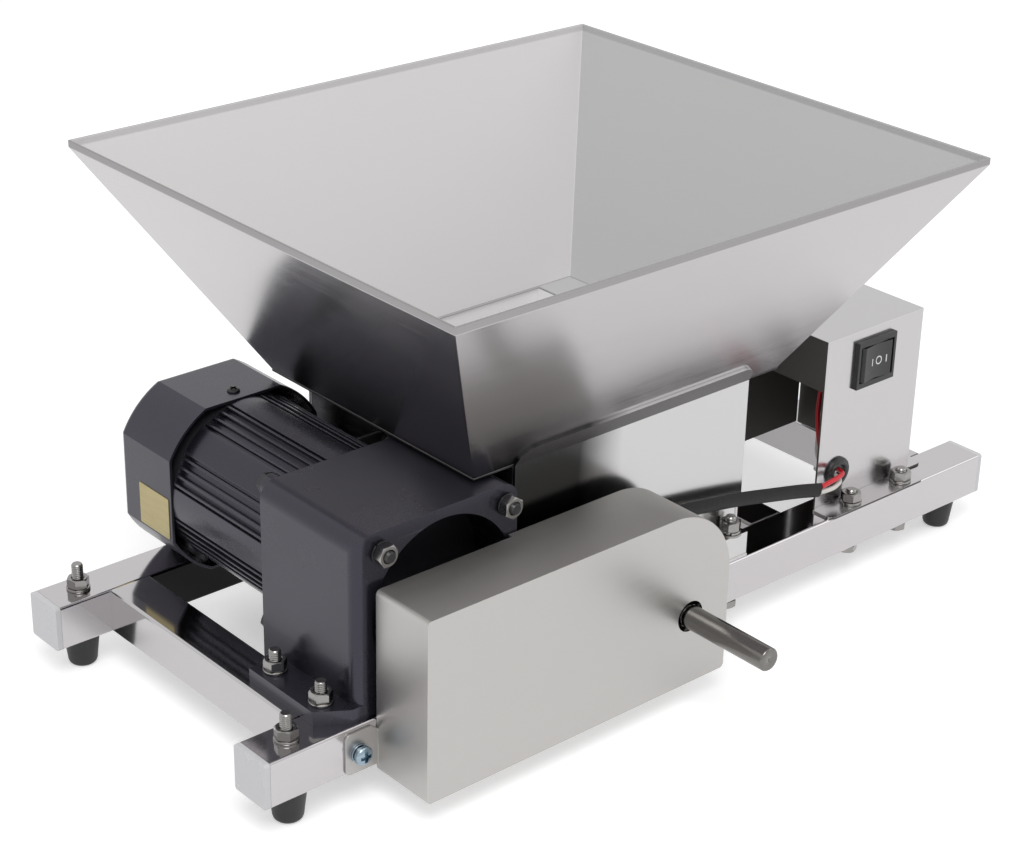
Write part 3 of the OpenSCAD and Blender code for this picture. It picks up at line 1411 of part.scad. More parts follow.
module cable_grommet() color([0.05, 0.05, 0.05]) placed() {
    back_t = 2;
    translate([grommet_x, sbox_y, grommet_z]) difference() {
        union() {
            translate([0, -grommet_t, 0]) rod_y(grommet_d, grommet_t);
            rod_y(grommet_neck_d, sbox_t);
            translate([0, sbox_t, 0]) rod_y(grommet_d - 1, back_t);
        }
        translate([0, -grommet_t - eps, 0]) rod_y(grommet_bore_d, grommet_t + sbox_t + back_t + 2 * eps);
    }
}

module cable_sleeve() color([0.06, 0.06, 0.06]) placed() {
    swept_tube(smooth(sleeve_route, 3), sleeve_size[0], sleeve_size[1], 12);
}

module red_wire() color([0.75, 0.1, 0.1]) placed() swept_tube(smooth(red_route, 3), wire_d, wire_d, 8);
module white_wire() color([0.9, 0.9, 0.9]) placed() swept_tube(smooth(white_route, 3), wire_d, wire_d, 8);

front_rail();
back_rail();
left_cross_rail();
drive_cross_rail();
middle_cross_rail();
right_cross_rail();
rail_end_caps();
rubber_feet();
foot_studs();
foot_nuts();
gear_casing();
casing_foot_bolts();
casing_foot_nuts();
casing_base_bolts();
casing_screws();
casing_nuts();
gearhead();
output_shaft();
motor_sprocket();
motor_body();
stator();
rotor();
rear_bell();
cooling_fan();
fan_cover();
fan_cover_screws();
rating_plate();
motor_gland();
hopper();
hopper_base();
front_plate();
back_plate();
left_box_wall();
right_box_wall();
feed_plate();
crushing_plate();
crank_shaft();
crushing_roller();
roller_sprocket();
drive_chain();
front_bearing_bar();
back_bearing_bar();
bearing_bushes();
bearing_bolts();
bearing_nuts();
chain_cover();
cover_screws();
switch_box();
switch_box_back();
switch_box_bolts();
switch_box_nuts();
switch_frame();
rocker();
cable_grommet();
cable_sleeve();
red_wire();
white_wire();
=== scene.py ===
"""Looks of the electric fruit crusher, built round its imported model.

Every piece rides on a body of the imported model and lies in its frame, in metres. Places inside the classes are
given in millimetres from the lower left front corner of the front rail, as the maker's drawing gives them.
"""

import json
import logging
import math
from dataclasses import dataclass, field
from enum import Enum
from typing import Callable, Iterable, NamedTuple, Sequence

import bmesh
import bpy
from mathutils import Euler, Matrix, Quaternion, Vector

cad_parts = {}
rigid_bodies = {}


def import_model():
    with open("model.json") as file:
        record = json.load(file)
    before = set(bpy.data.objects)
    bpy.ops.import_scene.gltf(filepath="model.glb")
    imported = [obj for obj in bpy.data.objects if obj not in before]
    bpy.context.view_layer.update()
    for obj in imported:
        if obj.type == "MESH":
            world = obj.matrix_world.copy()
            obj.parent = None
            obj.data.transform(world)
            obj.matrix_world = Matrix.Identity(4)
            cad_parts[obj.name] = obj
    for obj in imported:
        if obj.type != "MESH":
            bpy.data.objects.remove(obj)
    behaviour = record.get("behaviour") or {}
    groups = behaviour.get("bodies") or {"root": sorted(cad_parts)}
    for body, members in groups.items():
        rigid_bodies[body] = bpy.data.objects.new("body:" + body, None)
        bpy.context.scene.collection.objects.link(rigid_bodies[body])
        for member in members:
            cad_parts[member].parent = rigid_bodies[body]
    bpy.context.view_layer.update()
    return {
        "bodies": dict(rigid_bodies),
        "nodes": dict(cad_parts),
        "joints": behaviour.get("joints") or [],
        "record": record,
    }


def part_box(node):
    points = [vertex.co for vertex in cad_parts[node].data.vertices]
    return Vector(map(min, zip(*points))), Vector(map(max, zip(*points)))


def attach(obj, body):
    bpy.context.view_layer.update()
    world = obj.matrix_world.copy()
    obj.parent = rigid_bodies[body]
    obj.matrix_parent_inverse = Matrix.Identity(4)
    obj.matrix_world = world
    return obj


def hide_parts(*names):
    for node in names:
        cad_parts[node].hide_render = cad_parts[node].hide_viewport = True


LOG = logging.getLogger("crusher")
RAIL_CORNER = Vector((-246.0, -75.8, 18.0))
UP = Vector((0, 0, 1))
FORWARD = Vector((0, -1, 0))
BACKWARD = Vector((0, 1, 0))
MILLIMETRE = 0.001
MICRON = 1e-6
GAP = 0.02  # millimetres between parts that lie on each other
ANY_TURN = 6.2  # radians
STRAIGHT_ON = 0.5  # least part of a normal along an axis for a face that looks that way
LEANING = 0.2  # the same for a face that only leans that way

Colour = tuple[float, float, float]
Place = tuple[float, float, float]
Section = Sequence[tuple[float, float]]
Socket = bpy.types.NodeSocket
Pick = Callable[[bpy.types.MeshPolygon], int]


class Edge(NamedTuple):
    """Rounding of a piece's edges: its width in millimetres, faces across it and least bend in degrees."""

    width: float
    steps: int
    angle: float


def spot(x: float, y: float, z: float) -> Vector:
    """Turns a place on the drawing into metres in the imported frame.

    Args:
        x: Millimetres along the frame from the front rail's left end.
        y: Millimetres backwards from the front rail's face.
        z: Millimetres above the rails' underside.

    Returns:
        The place in metres.
    """
    return (RAIL_CORNER + Vector((x, y, z))) * MILLIMETRE


def tone(red: float, green: float, blue: float) -> Colour:
    """Turns a colour given in steps of 0 to 255 into the linear values that shaders take.

    Args:
        red: Red step.
        green: Green step.
        blue: Blue step.

    Returns:
        The linear colour.
    """

    def linear(step: float) -> float:
        """Linear value of one step."""
        share = step / 255
        return share / 12.92 if share <= 0.04045 else ((share + 0.055) / 1.055) ** 2.4

    return linear(red), linear(green), linear(blue)


def oval(wide: float, high: float, steps: int) -> list[tuple[float, float]]:
    """Points round an oval.

    Args:
        wide: Half of its width.
        high: Half of its height.
        steps: Number of points.

    Returns:
        The points, anticlockwise from the right.
    """
    turns = [2 * math.pi * k / steps for k in range(steps)]
    return [(wide * math.cos(turn), high * math.sin(turn)) for turn in turns]


def linked(name: str, data: bpy.types.ID) -> bpy.types.Object:
    """Makes an object of this data and links it to the scene."""
    item = bpy.data.objects.new(name, data)
    bpy.context.scene.collection.objects.link(item)
    return item


def applied(piece: bpy.types.Object) -> bpy.types.Mesh:
    """Applies an object's modifiers and takes them off.

    Args:
        piece: Object with modifiers.

    Returns:
        The object's new mesh.
    """
    graph = bpy.context.evaluated_depsgraph_get()
    mesh = bpy.data.meshes.new_from_object(piece.evaluated_get(graph), depsgraph=graph)
    piece.modifiers.clear()
    piece.data = mesh
    mesh.name = piece.name
    return mesh


class Grain(Enum):
    """Ways in which a metal was rubbed, as noise scales along X, Y and Z per metre."""

    ALONG_X = (14.0, 900.0, 900.0)
    ALONG_Y = (900.0, 14.0, 900.0)
    UPRIGHT = (900.0, 900.0, 14.0)
    LEVEL = (16.0, 16.0, 1100.0)
    RINGS_ON_Y = (60.0, 2200.0, 60.0)
    ROLLED = (160.0, 160.0, 160.0)


class Nodes:
    """Adds and joins the nodes of one tree."""

    def __init__(self, tree: bpy.types.NodeTree) -> None:
        """Keeps the tree and empties it.

        Args:
            tree: Tree that the nodes go into.
        """
        self.tree = tree
        tree.nodes.clear()

    def add(self, kind: str, **values: object) -> bpy.types.Node:
        """Adds a node and sets its properties.

        Args:
            kind: The node's type name.
            **values: Properties of the node.

        Returns:
            The new node.
        """
        node = self.tree.nodes.new(kind)
        for name, value in values.items():
            setattr(node, name, value)
        return node

    def join(self, start: Socket, end: Socket) -> None:
        """Joins an output to an input."""
        self.tree.links.new(start, end)

    def noise(self, vector: Socket, scale: float, detail: float, rough: float = 0.55) -> Socket:
        """Adds a noise texture.

        Args:
            vector: Where the noise is read.
            scale: Waves per unit.
            detail: Layers of finer noise.
            rough: Strength of the finer layers.

        Returns:
            The noise's value.
        """
        node = self.add("ShaderNodeTexNoise")
        node.inputs["Scale"].default_value = scale
        node.inputs["Detail"].default_value = detail
        node.inputs["Roughness"].default_value = rough
        self.join(vector, node.inputs["Vector"])
        return node.outputs["Fac"]

    def stretched(self, vector: Socket, scales: Place) -> Socket:
        """Stretches a coordinate.

        Args:
            vector: Coordinate to stretch.
            scales: Factor along each axis.

        Returns:
            The stretched coordinate.
        """
        node = self.add("ShaderNodeMapping", vector_type="POINT")
        node.inputs["Scale"].default_value = scales
        self.join(vector, node.inputs["Vector"])
        return node.outputs["Vector"]

    def ranged(self, value: Socket, low: float, high: float, start: float = 0.25, end: float = 0.75) -> Socket:
        """Spreads a value over a new range.

        Args:
            value: Value to spread.
            low: Result at start and below.
            high: Result at end and above.
            start: Lowest value read.
            end: Highest value read.

        Returns:
            The spread value.
        """
        node = self.add("ShaderNodeMapRange")
        for name, number in (("From Min", start), ("From Max", end), ("To Min", low), ("To Max", high)):
            node.inputs[name].default_value = number
        self.join(value, node.inputs["Value"])
        return node.outputs["Result"]

    def maths(self, kind: str, first: Socket, second: Socket | float) -> Socket:
        """Works out one value from two.

        Args:
            kind: Name of the operation.
            first: First value.
            second: Second value or a number.

        Returns:
            The result.
        """
        node = self.add("ShaderNodeMath", operation=kind)
        self.join(first, node.inputs[0])
        if isinstance(second, Socket):
            self.join(second, node.inputs[1])
        else:
            node.inputs[1].default_value = second
        return node.outputs[0]

    def mixed(self, share: Socket, first: Colour | Socket, second: Colour) -> Socket:
        """Mixes two colours.

        Args:
            share: Share of the second colour.
            first: First colour, or the output that gives it.
            second: Second colour.

        Returns:
            The mixed colour.
        """
        node = self.add("ShaderNodeMix", data_type="RGBA")
        start, end = [s for s in node.inputs if s.type == "RGBA"]
        if isinstance(first, Socket):
            self.join(first, start)
        else:
            start.default_value = (*first, 1)
        end.default_value = (*second, 1)
        self.join(share, node.inputs["Factor"])
        return [s for s in node.outputs if s.type == "RGBA"][0]

    def seen(self) -> Socket:
        """Adds a value that is 1 for the eye, for gloss and for glass, and 0 for other light.

        Returns:
            The value.
        """
        path = self.add("ShaderNodeLightPath")
        both = self.maths("MAXIMUM", path.outputs["Is Camera Ray"], path.outputs["Is Glossy Ray"])
        return self.maths("MAXIMUM", both, path.outputs["Is Transmission Ray"])

    def bumped(self, height: Socket, strength: float, depth: float, under: Socket | None = None) -> Socket:
        """Adds a bump.

        Args:
            height: Height of the surface.
            strength: Strength of the bump.
            depth: Depth in metres.
            under: Normal that the bump lies on.

        Returns:
            The bumped normal.
        """
        node = self.add("ShaderNodeBump")
        node.inputs["Strength"].default_value = strength
        node.inputs["Distance"].default_value = depth
        self.join(height, node.inputs["Height"])
        if under is not None:
            self.join(under, node.inputs["Normal"])
        return node.outputs["Normal"]


@dataclass(frozen=True)
class Finish:
    """Finish of a surface; each kind of finish fills in its own nodes."""

    name: str
    colour: Colour
    roughness: float = 0.4

    def build(self) -> bpy.types.Material:
        """Makes the material.

        Returns:
            The finished material.
        """
        material = bpy.data.materials.new(self.name)
        material.use_nodes = True
        nodes = Nodes(material.node_tree)
        shader = nodes.add("ShaderNodeBsdfPrincipled")
        shader.inputs["Base Color"].default_value = (*self.colour, 1)
        shader.inputs["Roughness"].default_value = self.roughness
        out = nodes.add("ShaderNodeOutputMaterial")
        nodes.join(shader.outputs["BSDF"], out.inputs["Surface"])
        material.diffuse_color = (*self.colour, 1)
        self.dress(nodes, shader, nodes.add("ShaderNodeTexCoord").outputs["Object"])
        return material

    def dress(self, nodes: Nodes, shader: bpy.types.Node, place: Socket) -> None:
        """Adds the finish's own nodes.

        Args:
            nodes: The material's nodes.
            shader: The material's shader.
            place: Coordinate on the piece.
        """
        raise NotImplementedError


@dataclass(frozen=True)
class RubbedSteel(Finish):
    """Stainless or turned steel with fine lines, smudges and a slow change of gloss."""

    grain: Grain = Grain.LEVEL
    lines: float = 0.08
    smudges: float = 0.06
    relief: float = 0.12
    shade: float = 0.9
    cloud: float = 9.0

    def dress(self, nodes: Nodes, shader: bpy.types.Node, place: Socket) -> None:
        """Adds lines and smudges to a metal."""
        shader.inputs["Metallic"].default_value = 1
        line = nodes.noise(nodes.stretched(place, self.grain.value), 1.0, 5.0, 0.6)
        cloud = nodes.noise(place, self.cloud, 3.0, 0.5)
        scuff = nodes.noise(place, 55.0, 4.0, 0.62)
        lined = nodes.ranged(line, self.roughness - self.lines / 2, self.roughness + self.lines / 2)
        rough = nodes.maths("ADD", lined, nodes.ranged(cloud, -self.smudges / 2, self.smudges / 2))
        rough = nodes.maths("ADD", rough, nodes.ranged(scuff, 0.0, self.smudges / 2, 0.55, 0.8))
        nodes.join(rough, shader.inputs["Roughness"])
        dark = tuple(c * self.shade for c in self.colour)
        blend = nodes.maths("MULTIPLY", nodes.ranged(line, 0.55, 1.0), nodes.ranged(cloud, 0.7, 1.0))
        nodes.join(nodes.mixed(blend, dark, self.colour), shader.inputs["Base Color"])
        nodes.join(nodes.bumped(line, self.relief, 40 * MICRON), shader.inputs["Normal"])


@dataclass(frozen=True)
class ShadedSteel(RubbedSteel):
    """Rubbed steel with a painted reflection: darker over a stretch along X, where it would mirror dark neighbours."""

    centre: float = 0.0
    dark_within: float = 0.1
    light_beyond: float = 0.12
    deep: float = 0.25

    def dress(self, nodes: Nodes, shader: bpy.types.Node, place: Socket) -> None:
        """Adds the painted reflection, a darker stretch along X, over the rubbed look."""
        super().dress(nodes, shader, place)
        split = nodes.add("ShaderNodeSeparateXYZ")
        nodes.join(place, split.inputs[0])
        wander = nodes.ranged(nodes.noise(place, 30.0, 2.0), -0.002, 0.002)
        across = nodes.maths("SUBTRACT", nodes.maths("ADD", split.outputs["X"], wander), self.centre)
        # painted reflection: the base colour is scaled down within dark_within of centre
        shade = nodes.ranged(nodes.maths("ABSOLUTE", across, 0.0), self.deep, 1.0, self.dark_within, self.light_beyond)
        tinted = nodes.add("ShaderNodeVectorMath", operation="SCALE")
        nodes.join(shader.inputs["Base Color"].links[0].from_socket, tinted.inputs[0])
        nodes.join(shade, tinted.inputs["Scale"])
        nodes.join(tinted.outputs[0], shader.inputs["Base Color"])


@dataclass(frozen=True)
class BlastedSteel(Finish):
    """Steel with an even matte grey look, bead-blasted so that it shows no reflections."""

    # painted light: an emission that lifts the shade inside the throat
    glow: float = 0.0
    relief: float = 0.1

    def dress(self, nodes: Nodes, shader: bpy.types.Node, place: Socket) -> None:
        """Adds the blasted grain and a barely uneven tone; the glow is painted light that lifts the shade inside the
        throat.
        """
        shader.inputs["Metallic"].default_value = 0.1
        grit = nodes.noise(place, 1500.0, 3.0, 0.6)
        cloud = nodes.noise(place, 7.0, 3.0, 0.5)
        nodes.join(nodes.ranged(cloud, self.roughness - 0.03, self.roughness + 0.03), shader.inputs["Roughness"])
        dark = tuple(c * 0.975 for c in self.colour)
        nodes.join(nodes.mixed(nodes.ranged(cloud, 0.0, 1.0), dark, self.colour), shader.inputs["Base Color"])
        if self.glow:
            shader.inputs["Emission Color"].default_value = (*self.colour, 1)
            shader.inputs["Emission Strength"].default_value = self.glow
        nodes.join(nodes.bumped(grit, self.relief, 30 * MICRON), shader.inputs["Normal"])


@dataclass(frozen=True)
class CastPaint(Finish):
    """Glossy paint on cast metal, with a soft orange peel and rubbed specks."""

    peel: float = 0.12
    coat: float = 0.35
    specks: float = 0.5
    # sharp edges turn towards this colour: rubbed paint and a painted highlight
    edge: Colour = (0.07, 0.068, 0.078)
    tint: Colour = (0.80, 0.77, 1.0)
    gloss: float = 0.55
    coat_roughness: float = 0.08

    def dress(self, nodes: Nodes, shader: bpy.types.Node, place: Socket) -> None:
        """Adds orange peel, dust, lighter edges that are partly rubbed paint and partly painted highlight, and a clear
        coat to a paint.
        """
        shader.inputs["Coat Weight"].default_value = self.coat
        shader.inputs["Coat Roughness"].default_value = self.coat_roughness
        shader.inputs["Specular Tint"].default_value = (*self.tint, 1)
        shader.inputs["Specular IOR Level"].default_value = self.gloss
        peel = nodes.noise(place, 420.0, 2.0, 0.5)
        wave = nodes.noise(place, 46.0, 2.0, 0.5)
        dust = nodes.noise(place, 900.0, 3.0, 0.7)
        cloud = nodes.noise(place, 14.0, 3.0, 0.55)
        smooth = nodes.ranged(cloud, self.roughness - 0.05, self.roughness + 0.05)
        rough = nodes.maths("ADD", smooth, nodes.ranged(dust, 0.0, 0.12, 0.6, 0.8))
        nodes.join(rough, shader.inputs["Roughness"])
        light = tuple(c * (1 + self.specks) + 0.002 for c in self.colour)
        paint = nodes.mixed(nodes.ranged(dust, 0.0, 0.7, 0.62, 0.82), self.colour, light)
        bend = nodes.add("ShaderNodeNewGeometry").outputs["Pointiness"]
        # lighter sharp edges: rubbed paint and a painted highlight standing in for glints
        edge_wear_and_highlight = nodes.maths("MULTIPLY", nodes.ranged(bend, 0.0, 0.8, 0.52, 0.64), nodes.ranged(cloud, 0.5, 1.0))
        nodes.join(nodes.mixed(edge_wear_and_highlight, paint, self.edge), shader.inputs["Base Color"])
        normal = nodes.bumped(peel, self.peel, 60 * MICRON)
        nodes.join(nodes.bumped(wave, self.peel, 300 * MICRON, normal), shader.inputs["Normal"])


@dataclass(frozen=True)
class Moulded(Finish):
    """Moulded plastic or rubber with a fine spark-eroded grain."""

    grit: float = 2600.0
    relief: float = 0.2
    wear: float = 0.35

    def dress(self, nodes: Nodes, shader: bpy.types.Node, place: Socket) -> None:
        """Adds moulded grain, handling marks and faded patches."""
        grit = nodes.noise(place, self.grit, 2.0, 0.6)
        hand = nodes.noise(place, 38.0, 4.0, 0.6)
        nodes.join(nodes.ranged(hand, self.roughness - 0.07, self.roughness + 0.09), shader.inputs["Roughness"])
        light = tuple(min(1.0, c * (1 + self.wear) + 0.003) for c in self.colour)
        faded = nodes.mixed(nodes.ranged(hand, 0.0, 0.6, 0.45, 0.8), self.colour, light)
        nodes.join(faded, shader.inputs["Base Color"])
        nodes.join(nodes.bumped(grit, self.relief, 50 * MICRON), shader.inputs["Normal"])


@dataclass(frozen=True)
class Foil(Finish):
    """Bare metal foil, rolled and a little rubbed."""

    def dress(self, nodes: Nodes, shader: bpy.types.Node, place: Socket) -> None:
        """Adds rolling marks and a rubbed look to the foil."""
        shader.inputs["Metallic"].default_value = 0.75
        line = nodes.noise(nodes.stretched(place, (900, 30, 900)), 1.0, 3.0)
        cloud = nodes.noise(place, 60.0, 3.0)
        nodes.join(nodes.ranged(cloud, self.roughness - 0.08, self.roughness + 0.1), shader.inputs["Roughness"])
        dark = tuple(c * 0.8 for c in self.colour)
        nodes.join(nodes.mixed(nodes.ranged(line, 0.2, 1.0), dark, self.colour), shader.inputs["Base Color"])
        nodes.join(nodes.bumped(cloud, 0.25, 100 * MICRON), shader.inputs["Normal"])


@dataclass(frozen=True)
class Sleeving(Finish):
    """Flat plastic sleeving with faint lengthwise draw lines and cross creases, read from the piece's own map."""

    gloss: float = 0.2

    def dress(self, nodes: Nodes, shader: bpy.types.Node, place: Socket) -> None:
        """Adds draw lines and creases to the sleeving."""
        shader.inputs["Specular IOR Level"].default_value = self.gloss
        along = nodes.add("ShaderNodeUVMap", uv_map="route").outputs["UV"]
        draw = nodes.noise(nodes.stretched(along, (60, 4, 1)), 1.0, 3.0)
        crease = nodes.noise(nodes.stretched(along, (1.5, 90, 1)), 1.0, 3.0)
        nodes.join(nodes.ranged(draw, self.roughness - 0.06, self.roughness + 0.1), shader.inputs["Roughness"])
        light = tuple(c * 1.5 + 0.004 for c in self.colour)
        nodes.join(nodes.mixed(nodes.ranged(crease, 0.0, 0.5), self.colour, light), shader.inputs["Base Color"])
        normal = nodes.bumped(draw, 0.3, 80 * MICRON)
        nodes.join(nodes.bumped(crease, 0.35, 150 * MICRON, normal), shader.inputs["Normal"])


FINISHES: dict[str, Finish] = {
    f.name: f
    for f in (
        RubbedSteel("mirror_tube", tone(192, 189, 191), 0.09, Grain.ALONG_X, 0.04, 0.05, 0.04, 0.96),
        # a shade darker than the long tubes: painted shade on the cross rails
        RubbedSteel("mirror_cross_tube", tone(186, 184, 185), 0.09, Grain.ALONG_Y, 0.04, 0.05, 0.04, 0.96),
        RubbedSteel("hopper_outside", tone(181, 178, 180), 0.21, Grain.LEVEL, 0.06, 0.04, 0.06, 0.95),
        # the hopper's inside: one matte steel, painted lighter on the back wall and painted shade on the other walls
        BlastedSteel("hopper_back_inside", tone(212, 210, 210), 0.75),
        BlastedSteel("hopper_side_inside", tone(190, 190, 190), 0.75),
        # throat walls: painted light, glowing so that the shade inside the box does not show
        BlastedSteel("throat_back", tone(203, 201, 202), 0.75, 0.42),
        BlastedSteel("throat_floor", tone(192, 191, 192), 0.75),
        BlastedSteel("throat_side", tone(182, 181, 182), 0.75, 0.7),
        RubbedSteel("rim_sheet", tone(150, 148, 149), 0.22, Grain.LEVEL, 0.06, 0.04, 0.06, 0.94),
        # dark finish on narrow edge faces: painted shade, hiding the bright line their bevels would show
        RubbedSteel("sheared_edge", tone(70, 69, 69), 0.4, Grain.ROLLED, 0.1, 0.06, 0.1, 0.9),
        # inner faces and cut edges of the switch box: painted shade
        BlastedSteel("box_inside", tone(72, 70, 67), 0.6),
        RubbedSteel("plate_sheet", tone(198, 197, 197), 0.14, Grain.LEVEL, 0.05, 0.05, 0.06, 0.94),
        # front plate: painted reflection of the dark casing, darker towards its left end
        ShadedSteel("front_sheet", tone(195, 194, 194), 0.24, Grain.LEVEL, 0.05, 0.05, 0.06, 0.94,
                    centre=spot(90, 0, 0).x, dark_within=0.103, light_beyond=0.13, deep=0.1),
        # back rail's front face: painted reflection of the motor, darker over a stretch along X
        ShadedSteel("shaded_tube", tone(192, 189, 191), 0.09, Grain.ALONG_X, 0.04, 0.05, 0.04, 0.96,
                    centre=spot(150, 0, 0).x, dark_within=0.098, light_beyond=0.102, deep=0.05),
        # the strip under the hopper: a darker copy of the plate's steel as painted shade
        RubbedSteel("strip_sheet", tone(116, 114, 115), 0.44, Grain.ALONG_X, 0.05, 0.05, 0.06, 0.94),
        RubbedSteel("box_sheet", tone(196, 194, 192), 0.24, Grain.LEVEL, 0.07, 0.06, 0.08, 0.93),
        RubbedSteel("cover_sheet", tone(183, 181, 179), 0.38, Grain.ALONG_X, 0.08, 0.07, 0.12, 0.93),
        # the cover's top: a darker, rougher copy of its sheet, as painted shade
        RubbedSteel("cover_top", tone(172, 170, 167), 0.52, Grain.ALONG_X, 0.08, 0.07, 0.12, 0.93),
        RubbedSteel("switch_box_sheet", tone(190, 188, 189), 0.2, Grain.UPRIGHT, 0.06, 0.05, 0.07, 0.95),
        RubbedSteel("turned_shaft", tone(122, 120, 117), 0.2, Grain.RINGS_ON_Y, 0.12, 0.08, 0.25, 0.8),
        RubbedSteel("cast_roller", tone(186, 184, 181), 0.36, Grain.ROLLED, 0.1, 0.1, 0.2, 0.85),
        RubbedSteel("zinc_hardware", tone(150, 148, 146), 0.17, Grain.ROLLED, 0.1, 0.08, 0.12, 0.82),
        RubbedSteel("blue_zinc", tone(150, 168, 180), 0.18, Grain.ROLLED, 0.1, 0.08, 0.12, 0.8),
        RubbedSteel("black_hardware", tone(74, 73, 74), 0.34, Grain.ROLLED, 0.14, 0.1, 0.2, 0.8),
        RubbedSteel("chain_steel", tone(140, 138, 135), 0.33, Grain.ROLLED, 0.12, 0.12, 0.2, 0.75),
        RubbedSteel("sprocket_steel", tone(96, 95, 96), 0.36, Grain.ROLLED, 0.12, 0.12, 0.2, 0.75),
        RubbedSteel("rotor_steel", tone(150, 148, 145), 0.35, Grain.RINGS_ON_Y, 0.1, 0.1, 0.2, 0.8),
        RubbedSteel("bronze_bush", tone(176, 132, 78), 0.3, Grain.RINGS_ON_Y, 0.1, 0.1, 0.15, 0.85),
        RubbedSteel("copper_winding", tone(170, 96, 58), 0.32, Grain.ALONG_Y, 0.1, 0.1, 0.3, 0.7),
        CastPaint("slate_paint", (0.0112, 0.0108, 0.0148), 0.28, 0.12, 0.12),
        CastPaint("motor_paint", (0.0074, 0.0071, 0.0098), 0.26, 0.06, 0.12),
        CastPaint("dark_paint", (0.018, 0.018, 0.021), 0.36, 0.12, 0.15),
        Moulded("foot_rubber", (0.009, 0.009, 0.0095), 0.5, 1400.0, 0.3),
        Moulded("cap_plastic", tone(204, 204, 207), 0.26, 900.0, 0.06, 0.02),
        Moulded("switch_plastic", (0.0085, 0.0085, 0.0095), 0.33, 2200.0, 0.18),
        Moulded("rocker_plastic", (0.012, 0.012, 0.0135), 0.26, 2200.0, 0.12),
        Moulded("grommet_rubber", (0.008, 0.008, 0.0085), 0.3, 1500.0, 0.12),
        Moulded("fan_plastic", (0.011, 0.011, 0.012), 0.4, 1500.0, 0.2),
        Moulded("white_mark", tone(226, 226, 224), 0.45, 2400.0, 0.1, 0.02),
        Moulded("red_cover", tone(206, 22, 38), 0.3, 1500.0, 0.1, 0.1),
        Moulded("white_cover", tone(214, 212, 208), 0.32, 1500.0, 0.1, 0.05),
        Foil("gold_foil", tone(178, 165, 122), 0.4),
        Sleeving("black_sleeving", (0.0095, 0.0095, 0.01), 0.42),
    )
}


class MeshMaker:
    """Collects the corners and faces of one mesh."""

    def __init__(self) -> None:
        """Starts an empty mesh."""
        self.points: list[Vector] = []
        self.faces: list[tuple[int, ...]] = []

    def ring(self, points: Iterable[Vector]) -> list[int]:
        """Adds points.

        Args:
            points: Places of the new points.

        Returns:
            Their numbers.
        """
        start = len(self.points)
        self.points.extend(points)
        return list(range(start, len(self.points)))

    def band(self, low: Sequence[int], high: Sequence[int]) -> None:
        """Joins two rings of equal count by quads."""
        count = len(low)
        for i in range(count):
            j = (i + 1) % count
            self.faces.append((low[i], low[j], high[j], high[i]))

    def skin(self, rings: Sequence[Sequence[int]], looped: bool = False) -> "MeshMaker":
        """Joins rings in order by quads.

        Args:
            rings: Rings of equal count.
            looped: Whether the last ring is joined to the first, in place of a flat face at each end.

        Returns:
            This mesh.
        """
        for first, second in zip(rings, rings[1:]):
            self.band(first, second)
        if looped:
            self.band(rings[-1], rings[0])
        else:
            self.faces.append(tuple(reversed(rings[0])))
            self.faces.append(tuple(rings[-1]))
        return self

    def lathe(self, profile: Section, segments: int = 48) -> "MeshMaker":
        """Turns a profile about Z; a radius of 0 makes a pole.

        Args:
            profile: Radius and height of each point in millimetres.
            segments: Steps round the axis.

        Returns:
            This mesh.
        """
        before: list[int] | None = None
        for radius, height in profile:
            if radius <= 0:
                ring = self.ring([Vector((0, 0, height))])
            else:
                ring = self.ring(Vector((x, y, height)) for x, y in oval(radius, radius, segments))
            if before is not None:
                if len(before) == 1 and len(ring) > 1:
                    self.faces.extend((before[0], ring[(k + 1) % segments], ring[k]) for k in range(segments))
                elif len(ring) == 1 and len(before) > 1:
                    self.faces.extend((before[k], before[(k + 1) % segments], ring[0]) for k in range(segments))
                else:
                    self.band(before, ring)
            before = ring
        return self

    def sweep(self, path: Sequence[Vector], section: Section) -> "MeshMaker":
        """Sweeps a closed section along a path with flat ends.

        Args:
            path: Places along the path.
            section: Offsets sideways and upwards.

        Returns:
            This mesh.
        """
        rings = []
        for i, point in enumerate(path):
            heading = (path[min(len(path) - 1, i + 1)] - path[max(0, i - 1)]).normalized()
            side = heading.cross(UP).normalized()
            upward = side.cross(heading)
            rings.append(self.ring(point + side * s + upward * u for s, u in section))
        return self.skin(rings)

    def prism(self, outline: Section, low: float, high: float) -> "MeshMaker":
        """Extrudes an outline in X and Y along Z.

        Args:
            outline: Corners of the outline.
            low: Lower height.
            high: Upper height.

        Returns:
            This mesh.
        """
        return self.skin([self.ring(Vector((x, y, z)) for x, y in outline) for z in (low, high)])

    def mesh(self, name: str, place: Matrix | None = None) -> bpy.types.Mesh:
        """Makes a Blender mesh in metres, with its faces turned outwards.

        Args:
            name: Name of the mesh.
            place: Place of the mesh, in millimetres, before the scale to metres.

        Returns:
            The mesh.
        """
        mesh = bpy.data.meshes.new(name)
        move = place or Matrix.Identity(4)
        mesh.from_pydata([(move @ p) * MILLIMETRE for p in self.points], [], self.faces)
        shape = bmesh.new()
        shape.from_mesh(mesh)
        bmesh.ops.remove_doubles(shape, verts=shape.verts, dist=1e-7)
        bmesh.ops.recalc_face_normals(shape, faces=shape.faces)
        shape.to_mesh(mesh)
        shape.free()
        mesh.update()
        return mesh


def on_drawing(x: float, y: float, z: float, turn: Quaternion | None = None) -> Matrix:
    """Matrix in millimetres that takes a template to a place on the drawing.

    Args:
        x: Place along the frame.
        y: Place backwards.
        z: Place upwards.
        turn: Turn of the template before it is moved.

    Returns:
        The matrix.
    """
    turned = turn.to_matrix().to_4x4() if turn else Matrix.Identity(4)
    return Matrix.Translation(RAIL_CORNER + Vector((x, y, z))) @ turned


def turned_to(axis: Vector) -> Quaternion:
    """Turn that brings Z onto an axis."""
    return UP.rotation_difference(axis.normalized())


